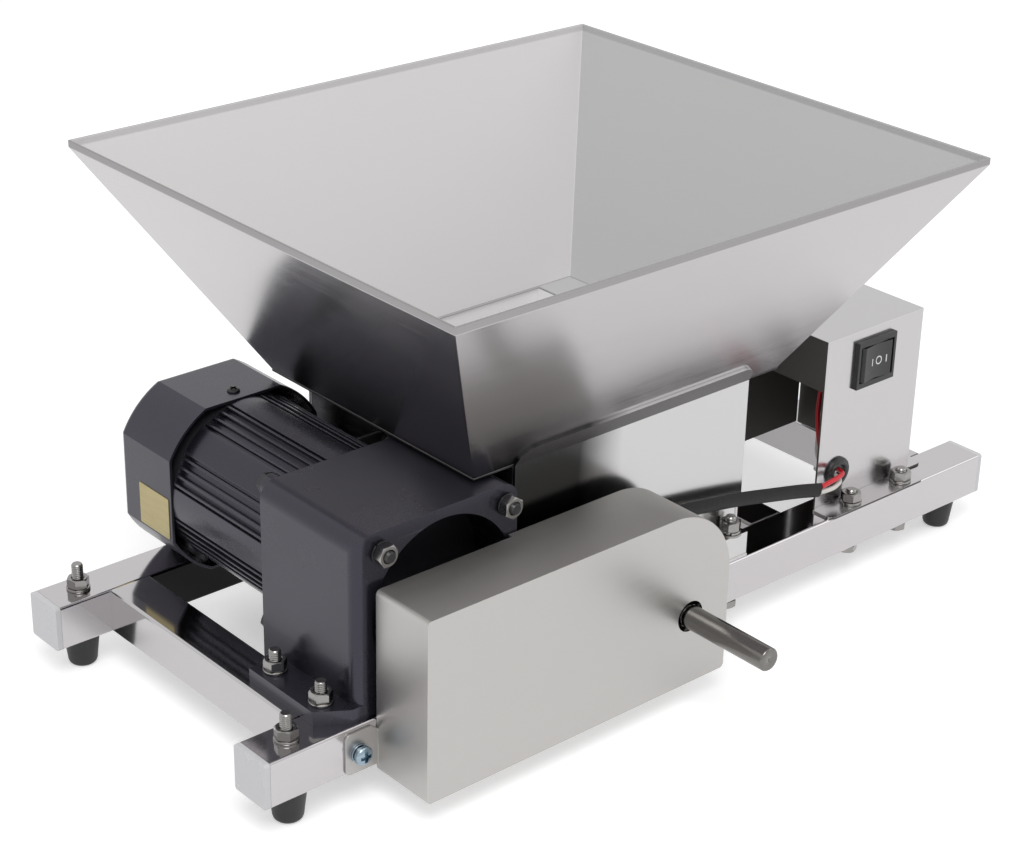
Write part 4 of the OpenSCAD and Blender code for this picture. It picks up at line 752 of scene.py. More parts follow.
def looks_forward(face: bpy.types.MeshPolygon) -> int:
    """Whether a face looks to the front, as 0 or 1."""
    return int(face.normal.y < -STRAIGHT_ON)


def looks_left(face: bpy.types.MeshPolygon) -> int:
    """Whether a face looks to the left, as 0 or 1."""
    return int(face.normal.x < -STRAIGHT_ON)


class GeometryTree(Nodes):
    """A Geometry Nodes tree with named inputs, run once on a mesh and applied."""

    def __init__(self, name: str, inputs: Sequence[tuple[str, str]]) -> None:
        """Makes the tree with its inputs.

        Args:
            name: Name of the tree.
            inputs: Name and socket type of each input besides the geometry.
        """
        super().__init__(bpy.data.node_groups.new(name, "GeometryNodeTree"))
        face = self.tree.interface
        face.new_socket("Geometry", in_out="INPUT", socket_type="NodeSocketGeometry")
        for label, kind in inputs:
            face.new_socket(label, in_out="INPUT", socket_type=kind)
        face.new_socket("Finish", in_out="INPUT", socket_type="NodeSocketMaterial")
        face.new_socket("Geometry", in_out="OUTPUT", socket_type="NodeSocketGeometry")
        self.start = self.add("NodeGroupInput")
        self.end = self.add("NodeGroupOutput")

    def close(self, geometry: Socket) -> None:
        """Ends the tree with real copies and the finish.

        Args:
            geometry: Geometry that the tree made.
        """
        realize = self.add("GeometryNodeRealizeInstances")
        finish = self.add("GeometryNodeSetMaterial")
        self.join(geometry, realize.inputs["Geometry"])
        self.join(realize.outputs["Geometry"], finish.inputs["Geometry"])
        self.join(self.start.outputs["Finish"], finish.inputs["Material"])
        self.join(finish.outputs["Geometry"], self.end.inputs["Geometry"])

    def run(self, name: str, base: bpy.types.Mesh, values: dict[str, object]) -> bpy.types.Object:
        """Runs the tree on a mesh and keeps the plain result.

        Args:
            name: Name of the new piece.
            base: Mesh that the tree starts from.
            values: Value of each named input.

        Returns:
            The finished object, with no modifier.
        """
        piece = linked(name, base)
        modifier = piece.modifiers.new(self.tree.name, "NODES")
        modifier.node_group = self.tree
        for item in self.tree.interface.items_tree:
            if item.item_type == "SOCKET" and item.in_out == "INPUT" and item.name in values:
                modifier[item.identifier] = values[item.name]
        applied(piece)
        return piece


class PointSetter(GeometryTree):
    """Sets a template on every point of a mesh, turned as the point's own attribute says."""

    def __init__(self) -> None:
        """Makes the tree."""
        inputs = [("Template", "NodeSocketObject"), ("Spin", "NodeSocketFloat"), ("Seed", "NodeSocketInt")]
        super().__init__("set_on_points", inputs)
        template = self.add("GeometryNodeObjectInfo")
        turn = self.add("GeometryNodeInputNamedAttribute", data_type="FLOAT_VECTOR")
        turn.inputs["Name"].default_value = "turn"
        as_turn = self.add("FunctionNodeEulerToRotation")
        chance = self.add("FunctionNodeRandomValue", data_type="FLOAT")
        spin = self.add("ShaderNodeCombineXYZ")
        spin_turn = self.add("FunctionNodeEulerToRotation")
        both = self.add("FunctionNodeRotateRotation", rotation_space="LOCAL")
        place = self.add("GeometryNodeInstanceOnPoints")
        self.join(self.start.outputs["Template"], template.inputs["Object"])
        values = [s for s in turn.outputs if s.type == "VECTOR"]
        self.join(values[0], as_turn.inputs[0])
        floats = [s for s in chance.inputs if s.name == "Max" and s.type == "VALUE"]
        self.join(self.start.outputs["Spin"], floats[0])
        self.join(self.start.outputs["Seed"], chance.inputs["Seed"])
        self.join([s for s in chance.outputs if s.type == "VALUE"][0], spin.inputs["Z"])
        self.join(spin.outputs[0], spin_turn.inputs[0])
        self.join(as_turn.outputs[0], both.inputs[0])
        self.join(spin_turn.outputs[0], both.inputs[1])
        self.join(self.start.outputs["Geometry"], place.inputs["Points"])
        self.join(template.outputs["Geometry"], place.inputs["Instance"])
        self.join(both.outputs[0], place.inputs["Rotation"])
        self.close(place.outputs["Instances"])


@dataclass
class Workshop:
    """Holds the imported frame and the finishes, and hands over finished pieces."""

    frame: dict[str, object]
    materials: dict[str, bpy.types.Material] = field(default_factory=dict)
    setter: PointSetter = field(default_factory=PointSetter)
    pieces: int = 0
    weld: float = 2e-6  # metres between corners that are one
    flat_angle: float = 0.4  # degrees between faces that are one
    flat_weight: int = 60

    def __post_init__(self) -> None:
        """Reads which body and slot each node has."""
        record = self.frame["record"]
        self.slots = {row["node"]: row["material_slot"] for row in record["subparts"]}
        self.bodies = {node: name for name, nodes in record["behaviour"]["bodies"].items() for node in nodes}

    def finish(self, name: str) -> bpy.types.Material:
        """Material of a finish, made when it is first asked for."""
        if name not in self.materials:
            self.materials[name] = FINISHES[name].build()
        return self.materials[name]

    def publish(self, piece: bpy.types.Object, finish: str, *nodes: str, hide: bool = True) -> bpy.types.Object:
        """Gives a piece its finish and body, and lets it stand for CAD nodes.

        Args:
            piece: The finished object.
            finish: Name of its finish, or nothing where its faces have theirs.
            *nodes: CAD nodes; the first gives the body.
            hide: Whether the piece replaces those nodes.

        Returns:
            The piece.
        """
        if finish and not piece.data.materials:
            piece.data.materials.append(self.finish(finish))
        if hide:
            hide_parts(*nodes)
        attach(piece, self.bodies[nodes[0]])
        self.pieces += 1
        LOG.info("%s: %d faces on %s", piece.name, len(piece.data.polygons), self.bodies[nodes[0]])
        return piece

    def settle(self, piece: bpy.types.Object, angle: float = 32.0) -> bpy.types.Object:
        """Applies a piece's modifiers and shades it smooth with sharp edges kept.

        Args:
            piece: Object with modifiers.
            angle: Edges bent more than this stay sharp, in degrees.

        Returns:
            The piece.
        """
        mesh = applied(piece) if piece.modifiers else piece.data
        mesh.shade_smooth()
        mesh.set_sharp_from_angle(angle=math.radians(angle))
        return piece

    def weighted(self, piece: bpy.types.Object) -> bpy.types.Object:
        """Lets large faces rule the normals, so that flats stay flat beside round edges."""
        modifier = piece.modifiers.new("even_normals", "WEIGHTED_NORMAL")
        modifier.keep_sharp = True
        modifier.weight = self.flat_weight
        applied(piece)
        return piece

    def rounded(self, piece: bpy.types.Object, edge: Edge) -> bpy.types.Object:
        """Rounds a piece's sharp edges.

        Args:
            piece: Object to round.
            edge: The rounding.

        Returns:
            The piece.
        """
        bevel = piece.modifiers.new("soft_edges", "BEVEL")
        bevel.width = edge.width * MILLIMETRE
        bevel.segments = edge.steps
        bevel.limit_method = "ANGLE"
        bevel.angle_limit = math.radians(edge.angle)
        bevel.use_clamp_overlap = True
        bevel.miter_outer = "MITER_ARC"
        return self.weighted(self.settle(piece))

    def copied(self, node: str) -> bpy.types.Object:
        """Copies a CAD node with its triangles merged into flat faces."""
        mesh = bpy.data.meshes.new(node + "_piece")
        shape = bmesh.new()
        shape.from_mesh(self.frame["nodes"][node].data)
        bmesh.ops.remove_doubles(shape, verts=shape.verts, dist=self.weld)
        flat = math.radians(self.flat_angle)
        bmesh.ops.dissolve_limit(shape, angle_limit=flat, verts=shape.verts, edges=shape.edges)
        shape.to_mesh(mesh)
        shape.free()
        return linked(mesh.name, mesh)

    def faced(self, node: str, edge: Edge, finishes: Sequence[str], pick: Pick,
              blank: bpy.types.Object | None = None) -> bpy.types.Object:
        """Replaces a CAD node by a rounded piece whose faces have their own finishes.

        Args:
            node: CAD node that the piece replaces.
            edge: Rounding of its edges.
            finishes: Names of the finishes.
            pick: Says which finish a face gets.
            blank: Object to round in place of a copy of the node.

        Returns:
            The piece.
        """
        piece = self.rounded(blank or self.copied(node), edge)
        for name in finishes:
            piece.data.materials.append(self.finish(name))
        for face in piece.data.polygons:
            face.material_index = pick(face)
        return self.publish(piece, "", node)

    def carry(self, *rows: tuple[str, str, Edge]) -> None:
        """Replaces CAD nodes by copies with rounded edges.

        Args:
            *rows: Name, finish and rounding of each node.
        """
        for node, finish, edge in rows:
            self.publish(self.rounded(self.copied(node), edge), finish, node)

    def points(self, name: str, places: Sequence[Place], axis: Vector | Sequence[Vector]) -> bpy.types.Mesh:
        """Makes a mesh of loose points that templates are set on.

        Args:
            name: Name of the mesh.
            places: Places on the drawing.
            axis: Direction of every template's Z, or one for each.

        Returns:
            The mesh with its turn attribute.
        """
        axes = [axis] * len(places) if isinstance(axis, Vector) else list(axis)
        mesh = bpy.data.meshes.new(name)
        mesh.from_pydata([spot(*p) for p in places], [], [])
        turns = mesh.attributes.new("turn", "FLOAT_VECTOR", "POINT")
        for row, way in zip(turns.data, axes):
            row.vector = turned_to(way).to_euler()
        return mesh

    def set_out(self, name: str, template: bpy.types.Mesh, base: bpy.types.Mesh, finish: str, node: str,
                spin: float = 0.0, seed: int = 1) -> bpy.types.Object:
        """Sets a template on points and publishes the result.

        Args:
            name: Name of the piece.
            template: Mesh to repeat.
            base: Points with their turns.
            finish: Name of the finish.
            node: CAD node that the piece stands for.
            spin: Largest chance turn about the template's own axis, in radians.
            seed: Fixed seed of that chance.

        Returns:
            The piece.
        """
        form = linked(name + "_template", template)
        values = {"Template": form, "Spin": spin, "Seed": seed, "Finish": self.finish(finish)}
        piece = self.setter.run(name, base, values)
        bpy.data.objects.remove(form)
        return self.publish(self.settle(piece, 30.0), finish, node)


@dataclass
class Threads:
    """Templates of screws, nuts and washers, standing on z = 0, in millimetres."""

    diameter: float = 6.0
    pitch: float = 1.0
    depth: float = 0.36
    around: int = 20  # points round a rod
    wire_steps: int = 6  # rings in one turn of the thread
    tip: float = 0.7  # length of a rod's chamfer
    tip_slope: float = 0.9  # how far the chamfer goes in for each millimetre along
    dent: float = 0.12  # depth of the middle of a rod's end
    hexagon_steps: int = 72
    rim: float = 0.45  # chamfer of a nut's hole
    dish: tuple[float, float, float] = (0.82, 0.76, 0.22)  # shares of a head's width, and depth, of its hollow
    flat_outer: float = 12.0
    spring_outer: float = 11.0

    def rod(self, low: float, high: float, plain: float) -> bpy.types.Mesh:
        """Threaded rod with a chamfered tip.

        Args:
            low: Lower end.
            high: Upper end.
            plain: Height below which the rod has no thread.

        Returns:
            The mesh.
        """
        maker = MeshMaker()
        radius = self.diameter / 2
        levels = [low, max(low, plain)]
        step = self.pitch / self.wire_steps
        while levels[-1] + step < high:
            levels.append(levels[-1] + step)
        levels.append(high)
        rings = [maker.ring([Vector((0, 0, low))])]
        for level in levels:
            row = []
            for k in range(self.around):
                wave = (level / self.pitch - k / self.around) % 1.0
                cut = self.depth * abs(2 * wave - 1) if level > plain else 0.0
                size = min(radius - cut, radius - max(0.0, level - (high - self.tip)) * self.tip_slope)
                turn = 2 * math.pi * k / self.around
                row.append(Vector((size * math.cos(turn), size * math.sin(turn), level)))
            rings.append(maker.ring(row))
        top = maker.ring([Vector((0, 0, high - self.dent))])
        for k in range(self.around):
            j = (k + 1) % self.around
            maker.faces.append((rings[0][0], rings[1][j], rings[1][k]))
            maker.faces.append((rings[-1][k], rings[-1][j], top[0]))
        for low_ring, high_ring in zip(rings[1:], rings[2:]):
            maker.band(low_ring, high_ring)
        return maker.mesh("rod")

    def hexagon(self, low: float, high: float, bore: float, cut_low: bool = True) -> bpy.types.Mesh:
        """Hexagon with its corners turned off, as a nut or a screw's head.

        Args:
            low: Lower face.
            high: Upper face.
            bore: Diameter of the hole, or 0 for a head.
            cut_low: Whether the lower corners are turned off too.

        Returns:
            The mesh.
        """
        maker = MeshMaker()
        count = self.hexagon_steps
        half = self.diameter * 5 / 6
        face = half * 0.96
        slope = math.tan(math.radians(30))

        def corner(k: int) -> tuple[float, float]:
            """Angle and radius of the hexagon at one step."""
            turn = 2 * math.pi * k / count
            return turn, half / math.cos((turn % (math.pi / 3)) - math.pi / 6)

        def row(size: Callable[[float], float], level: Callable[[float], float]) -> list[int]:
            """Ring whose radius and height depend on the hexagon's radius."""
            made = []
            for k in range(count):
                turn, reach = corner(k)
                made.append(Vector((size(reach) * math.cos(turn), size(reach) * math.sin(turn), level(reach))))
            return maker.ring(made)

        hole, rim = bore / 2, self.rim
        rings = []
        if bore:
            rings.append(row(lambda r: hole, lambda r: low + rim))
            rings.append(row(lambda r: hole + rim, lambda r: low))
        if cut_low:
            rings.append(row(lambda r: face, lambda r: low))
            rings.append(row(lambda r: r, lambda r: low + (r - face) * slope))
        else:
            rings.append(row(lambda r: r, lambda r: low))
        rings.append(row(lambda r: r, lambda r: high - (r - face) * slope))
        rings.append(row(lambda r: face, lambda r: high))
        if bore:
            rings.append(row(lambda r: hole + rim, lambda r: high))
            rings.append(row(lambda r: hole, lambda r: high - rim))
        else:
            wide, narrow, deep = self.dish
            rings.append(row(lambda r: face * wide, lambda r: high))
            rings.append(row(lambda r: face * narrow, lambda r: high - deep))
        return maker.skin(rings, looped=bore > 0).mesh("hexagon")

    def nut(self, low: float = 0.0) -> bpy.types.Mesh:
        """Nut that stands on a height."""
        return self.hexagon(low, low + self.diameter * 5 / 6, self.diameter + 0.1)

    def screw_head(self) -> bpy.types.Mesh:
        """Hexagon head that hangs below z = 0."""
        head = self.hexagon(0, self.diameter * 2 / 3, 0, False)
        head.transform(Matrix.Rotation(math.pi, 4, "X"))
        return head

    def washer(self, low: float, high: float, outer: float, bore: float = 6.4) -> bpy.types.Mesh:
        """Flat washer with rounded rims."""
        edge = min(0.3, (high - low) / 3)
        soft = edge * 0.3
        inner, reach = bore / 2, outer / 2
        return MeshMaker().lathe([
            (inner, low + edge), (inner + edge, low), (reach - edge, low), (reach - soft, low + soft),
            (reach, low + edge), (reach, high - edge), (reach - soft, high - soft), (reach - edge, high),
            (inner + edge, high), (inner, high - edge), (inner, low + edge),
        ]).mesh("washer")

    def spring_washer(self, low: float, high: float, outer: float, bore: float = 6.4) -> bpy.types.Mesh:
        """Split spring washer whose two ends stand a little apart."""
        maker = MeshMaker()
        count, gap, lift, edge = 44, math.radians(9), 0.22, 0.16
        inner, reach = bore / 2, outer / 2
        rings = []
        for k in range(count + 1):
            turn = gap / 2 + (2 * math.pi - gap) * k / count
            rise = lift * (k / count - 0.5)
            low_z, high_z = low + lift / 2 + rise, high - lift / 2 + rise
            section = [(inner, low_z), (reach - edge, low_z), (reach, low_z + edge), (reach, high_z - edge),
                       (reach - edge, high_z), (inner, high_z)]
            rings.append(maker.ring(Vector((r * math.cos(turn), r * math.sin(turn), z)) for r, z in section))
        return maker.skin(rings).mesh("spring_washer")

    @staticmethod
    def pan_head(diameter: float, height: float, shank: float, length: float) -> bpy.types.Mesh:
        """Round head with a cross recess, its underside at z = 0 and its shank below.

        Args:
            diameter: Diameter of the head.
            height: Height of the head.
            shank: Diameter of the shank.
            length: Length of the shank.

        Returns:
            The mesh.
        """
        reach = diameter / 2
        dome = [(0, -length), (shank / 2 - 0.4, -length), (shank / 2, -length + 0.4), (shank / 2, 0), (reach - 0.15, 0),
                (reach, 0.15), (reach, height * 0.35)]
        dome += [(reach * math.cos(a), height * (0.35 + 0.65 * math.sin(a))) for a in (0.3, 0.6, 0.85, 1.1, 1.3, 1.45)]
        dome.append((0, height))
        head = linked("pan_head", MeshMaker().lathe(dome, 40).mesh("pan_head"))
        arm, width = reach * 0.62, reach * 0.2
        cross = [(width, -arm), (width, -width), (arm, -width), (arm, width), (width, width), (width, arm),
                 (-width, arm), (-width, width), (-arm, width), (-arm, -width), (-width, -width), (-width, -arm)]
        tool = linked("cross_tool", MeshMaker().prism(cross, height * 0.3, height + 1).mesh("cross_tool"))
        cut = head.modifiers.new("recess", "BOOLEAN")
        cut.operation, cut.object, cut.solver = "DIFFERENCE", tool, "EXACT"
        mesh = applied(head)
        bpy.data.objects.remove(tool)
        bpy.data.objects.remove(head)
        return mesh


@dataclass
class Joints:
    """Sets nuts with their washers, and screws with hexagon heads."""

    shop: Workshop
    threads: Threads
    sunk: float = 0.5

    def nuts(self, node: str, places: Sequence[Place], axis: Vector, washers: Sequence[str],
             washer_finish: str = "zinc_hardware", seed: int = 4) -> None:
        """Sets washers and nuts in place of one node.

        Args:
            node: CAD node of the nuts.
            places: Places of the seats.
            axis: Direction out of the seat.
            washers: Kind of each washer, from the seat outwards.
            washer_finish: Finish of the washers.
            seed: Fixed seed for the nuts' turns.
        """
        thick = self.threads.diameter / 4
        for i, kind in enumerate(washers):
            low, high = i * thick + GAP, (i + 1) * thick - GAP
            if kind == "spring":
                shape = self.threads.spring_washer(low, high, self.threads.spring_outer)
            else:
                shape = self.threads.washer(low, high, self.threads.flat_outer)
            base = self.shop.points(node + "_seats", places, axis)
            self.shop.set_out(f"{node}_washer_{i}", shape, base, washer_finish, node, ANY_TURN, seed + 7 * i)
        nut = self.threads.nut(len(washers) * thick)
        base = self.shop.points(node + "_nut_seats", places, axis)
        self.shop.set_out(f"{node}_hexagons", nut, base, "zinc_hardware", node, ANY_TURN, seed)

    def bolts(self, node: str, places: Sequence[Place], axis: Vector, length: float,
              plain: float, finish: str = "zinc_hardware", seed: int = 9, label: str = "") -> None:
        """Sets screws whose heads lie under the seat.

        Args:
            node: CAD node of the screws.
            places: Places of the seats.
            axis: Direction of the shanks.
            length: Length of the shanks.
            plain: Length without thread.
            finish: Name of the finish.
            seed: Fixed seed for the screws' turns.
            label: Start of the pieces' names, or nothing to take the node's.
        """
        name = label or node
        shank = self.threads.rod(-self.sunk, length, plain)
        for part, form in (("heads", self.threads.screw_head()), ("shanks", shank)):
            base = self.shop.points(f"{name}_{part}_seats", places, axis)
            self.shop.set_out(f"{name}_{part}", form, base, finish, node, ANY_TURN, seed)


@dataclass
class RailFrame:
    """Frame of polished square tube with its end caps."""

    cross_rails: tuple[str, ...] = ("left_cross_rail", "drive_cross_rail", "middle_cross_rail", "right_cross_rail")
    edge: Edge = Edge(0.3, 2, 50)
    cap_edge: Edge = Edge(1.1, 4, 50)

    def build(self, shop: Workshop) -> None:
        """Builds the rails and caps."""
        shop.carry(("front_rail", "mirror_tube", self.edge))
        # the back rail's forward faces get the painted reflection of the motor
        shop.faced("back_rail", self.edge, ("mirror_tube", "shaded_tube"), looks_forward)
        shop.carry(*((node, "mirror_cross_tube", self.edge) for node in self.cross_rails))
        shop.carry(("rail_end_caps", "cap_plastic", self.cap_edge))


@dataclass
class Feet:
    """Four rubber feet with their studs, washers and nuts."""

    height: float = 18.0
    rail_top: float = 24.0
    rail_wall: float = 1.5
    stud_out: float = 14.0
    stud_in: float = 10.0
    hidden_stud: float = 18.0
    left: float = 17.5
    right: float = 474.5
    rows: tuple[float, float] = (12.0, 188.0)
    profile: Section = (
        (0, 0.5), (2.6, 0.5), (3.1, 0.0), (5.1, 0.0), (6.2, 0.4), (6.95, 1.15), (7.4, 2.3), (7.78, 5.6), (8.4, 10.6),
        (9.05, 15.8), (9.22, 17.0), (9.2, 17.6), (8.95, 17.93), (8.5, 18.0), (3.1, 18.0), (3.1, 8.2), (0, 8.2),
    )

    def places(self, z: float, *xs: float) -> list[Place]:
        """Places of the studs at a height, on the left, on the right or on both."""
        return [(x, y, z) for x in xs for y in self.rows]

    def build(self, shop: Workshop, joints: Joints) -> None:
        """Builds feet, studs, washers and nuts."""
        foot = MeshMaker().lathe(self.profile, 56).mesh("foot")
        feet = shop.points("feet_points", self.places(-self.height, self.left, self.right), UP)
        shop.set_out("rubber_feet_piece", foot, feet, "foot_rubber", "rubber_feet")
        rod = joints.threads.rod(0, self.stud_in + self.rail_top + self.stud_out, self.stud_in + self.rail_top - 6)
        seen = shop.points("left_stud_points", self.places(-self.stud_in, self.left), UP)
        shop.set_out("foot_studs_left", rod, seen, "zinc_hardware", "foot_studs", ANY_TURN, 3)
        short = joints.threads.rod(0, self.hidden_stud, self.stud_in)
        unseen = shop.points("right_stud_points", self.places(-self.stud_in, self.right), UP)
        shop.set_out("foot_studs_right", short, unseen, "zinc_hardware", "foot_studs", ANY_TURN, 5)
        joints.nuts("foot_nuts", self.places(self.rail_top, self.left), UP, ("flat",))
        seats = shop.points("rail_seats", self.places(self.rail_wall, self.right), UP)
        shop.set_out("foot_nuts_in_rails", joints.threads.nut(), seats, "zinc_hardware", "foot_nuts", ANY_TURN, 6)


@dataclass
class GearCasing:
    """Cast casing on its foot, with its studs, long screws and nuts."""

    front: float = 3.3
    axis: tuple[float, float] = (101.4, 70.5)
    square: float = 73.5
    foot_x: float = 41.5
    foot_ys: tuple[float, float] = (18.0, 53.5)
    base_x: float = 136.0
    foot_top: float = 31.0
    lug_back: float = 86.3
    edge: Edge = Edge(1.3, 4, 40)

    def build(self, shop: Workshop, joints: Joints) -> None:
        """Builds the casing and its hardware."""
        shop.carry(("gear_casing", "slate_paint", self.edge))
        seats = [(self.foot_x, y, 0.0) for y in self.foot_ys]
        joints.bolts("casing_foot_bolts", seats, UP, 42.5, 30)
        tops = [(x, y, self.foot_top) for x, y, _ in seats]
        joints.nuts("casing_foot_nuts", tops, UP, ("flat",), seed=12)
        below = [(self.base_x, y, 0.0) for y in self.foot_ys]
        joints.bolts("casing_base_bolts", below, UP, 29, 23, seed=14)
        half = self.square / 2
        upper, lower = [
            [(self.axis[0] + i * half, self.lug_back, self.axis[1] + rise) for i in (-1, 1)] for rise in (half, -half)
        ]
        deep = self.lug_back - self.front
        joints.bolts("casing_screws", upper, FORWARD, deep + 8, 74, "black_hardware", 15)
        joints.bolts("casing_screws", lower, FORWARD, deep - 8, 68, "black_hardware", 5, "casing_low_screw")
        fronts = [(x, self.front, z) for x, _, z in upper]
        joints.nuts("casing_nuts", fronts, FORWARD, ("spring",), "black_hardware", 17)


@dataclass
class Motor:
    """Ribbed motor body with its gearhead, rotor, fan, fan cover and label."""

    axis: tuple[float, float] = (101.4, 70.5)
    fan_screw_y: float = 168.8
    flat: float = 45.0
    plate_y: tuple[float, float] = (162.3, 188.3)
    plate_z: tuple[float, float] = (49.0, 71.5)
    plate_x: tuple[float, float] = (56.0, 56.4)
    plate_corner: float = 0.9
    plate_bevel: float = 0.08

    def build(self, shop: Workshop) -> None:
        """Builds the motor."""
        shop.carry(
            ("motor_body", "motor_paint", Edge(0.28, 2, 30)),
            ("gearhead", "dark_paint", Edge(0.8, 3, 40)),
            ("output_shaft", "turned_shaft", Edge(0.5, 2, 40)),
            ("stator", "copper_winding", Edge(0.8, 2, 40)),
            ("rotor", "rotor_steel", Edge(0.6, 2, 40)),
            ("rear_bell", "dark_paint", Edge(0.8, 3, 40)),
            ("cooling_fan", "fan_plastic", Edge(0.4, 2, 40)),
            ("fan_cover", "slate_paint", Edge(0.55, 3, 26)),
        )
        self.screws(shop)
        self.label(shop)
        shop.carry(("motor_gland", "grommet_rubber", Edge(0.7, 3, 40)))

    def screws(self, shop: Workshop) -> None:
        """Builds the cross-headed screws in the fan cover's flats."""
        head = Threads.pan_head(6.6, 1.8, 3.0, 5.5)
        places = [(self.axis[0], self.fan_screw_y, self.axis[1] + i * self.flat) for i in (1, -1)]
        base = shop.points("fan_screws", places, [UP, -UP])
        shop.set_out("fan_cover_screw_heads", head, base, "black_hardware", "fan_cover_screws", ANY_TURN, 21)

    def label(self, shop: Workshop) -> None:
        """Builds the bare foil label on the fan cover's left flat."""
        low, high = self.plate_y
        bottom, top = self.plate_z
        corner = self.plate_corner
        outline = []
        for y, z, start in ((high, top, 0), (low, top, 90), (low, bottom, 180), (high, bottom, 270)):
            centre = (y + (corner if y == low else -corner), z + (corner if z == bottom else -corner))
            for step in range(5):
                turn = math.radians(start + 22.5 * step)
                outline.append((centre[0] + corner * math.cos(turn), centre[1] + corner * math.sin(turn)))
        maker = MeshMaker()
        near, far = self.plate_x
        bevel = self.plate_bevel
        mid_y, mid_z = (low + high) / 2, (bottom + top) / 2
        rings = []
        for x, inset in ((far, 0.0), (near + bevel, 0.0), (near, bevel)):
            shrink_y, shrink_z = 1 - 2 * inset / (high - low), 1 - 2 * inset / (top - bottom)
            shrunk = [(x, mid_y + (y - mid_y) * shrink_y, mid_z + (z - mid_z) * shrink_z) for y, z in outline]
            rings.append(maker.ring(RAIL_CORNER + Vector(p) for p in shrunk))
        piece = linked("rating_plate_piece", maker.skin(rings).mesh("rating_plate_piece"))
        shop.publish(shop.settle(piece, 30), "gold_foil", "rating_plate")


@dataclass
class ChainDrive:
    """Two sprockets joined by a roller chain."""

    start: tuple[float, float] = (101.4, 52.5)
    end: tuple[float, float] = (223.84, 34.0)
    pitch: float = 9.525
    teeth: int = 12
    links: int = 38
    middle: float = -18.5
    plate: float = 1.05
    inner: float = 2.85
    tooth_edge: Edge = Edge(0.35, 2, 40)

    def pins(self) -> list[Vector]:
        """Middles of the chain's pins in order round the loop.

        Returns:
            Places in X and Z, as vectors with Y left at 0.
        """
        radius = self.pitch / (2 * math.sin(math.pi / self.teeth))
        first, last = Vector((self.start[0], 0, self.start[1])), Vector((self.end[0], 0, self.end[1]))
        along = (last - first).normalized()
        across = Vector((-along.z, 0, along.x))
        straight = (self.links - self.teeth) // 2
        bend = oval(radius, radius, self.teeth)[1:self.teeth // 2]
        made = [first + across * radius + along * self.pitch * i for i in range(straight + 1)]
        made += [last + across * up + along * out for up, out in bend]
        made += [last - across * radius - along * self.pitch * i for i in range(straight + 1)]
        made += [first - across * up - along * out for up, out in bend]
        return made

    def plate_outline(self, height: float) -> list[tuple[float, float]]:
        """Outline of a waisted side plate, lengthwise along X."""
        radius, half = height / 2, self.pitch / 2
        right = [(half + radius * math.cos(a), radius * math.sin(a)) for a in (-1.2, -0.7, -0.25, 0.25, 0.7, 1.2)]
        waist = radius * 0.72
        return right + [(0.0, waist)] + [(-x, -z) for x, z in right] + [(0.0, -waist)]

    def link(self, offset: float, height: float, pin: float, reach: float) -> bpy.types.Mesh:
        """One link: two plates and two round bars through them.

        Args:
            offset: Distance of the plates' inner faces from the middle.
            height: Height of the plates.
            pin: Radius of the bars.
            reach: Half length of the bars.

        Returns:
            The mesh, lengthwise along X with its bars along Z.
        """
        maker = MeshMaker()
        outline = self.plate_outline(height)
        maker.prism(outline, offset, offset + self.plate)
        maker.prism(outline, -offset - self.plate, -offset)
        for i in (-1, 1):
            maker.prism([(i * self.pitch / 2 + x, z) for x, z in oval(pin, pin, 10)], -reach, reach)
        return maker.mesh("link")

    def build(self, shop: Workshop) -> None:
        """Builds the sprockets and the chain."""
        shop.carry(*((node, "sprocket_steel", self.tooth_edge) for node in ("motor_sprocket", "roller_sprocket")))
        pins = self.pins()
        kinds = (
            ("inner", self.link(self.inner, 8.0, 3.1, self.inner)),
            ("outer", self.link(self.inner + self.plate + 0.12, 7.4, 1.5, self.inner + 2 * self.plate + 0.3)),
        )
        for part, (label, template) in enumerate(kinds):
            places, turns = [], []
            for i in range(part, self.links, 2):
                here, there = pins[i], pins[(i + 1) % self.links]
                middle = (here + there) / 2
                places.append((middle.x, self.middle, middle.z))
                along = (there - here).normalized()
                turns.append(Matrix((along, along.cross(FORWARD).normalized() * -1, FORWARD)).transposed().to_euler())
            base = shop.points("chain_points", places, UP)
            for row, turn in zip(base.attributes["turn"].data, turns):
                row.vector = turn
            shop.set_out(f"drive_chain_{label}_links", template, base, "chain_steel", "drive_chain")


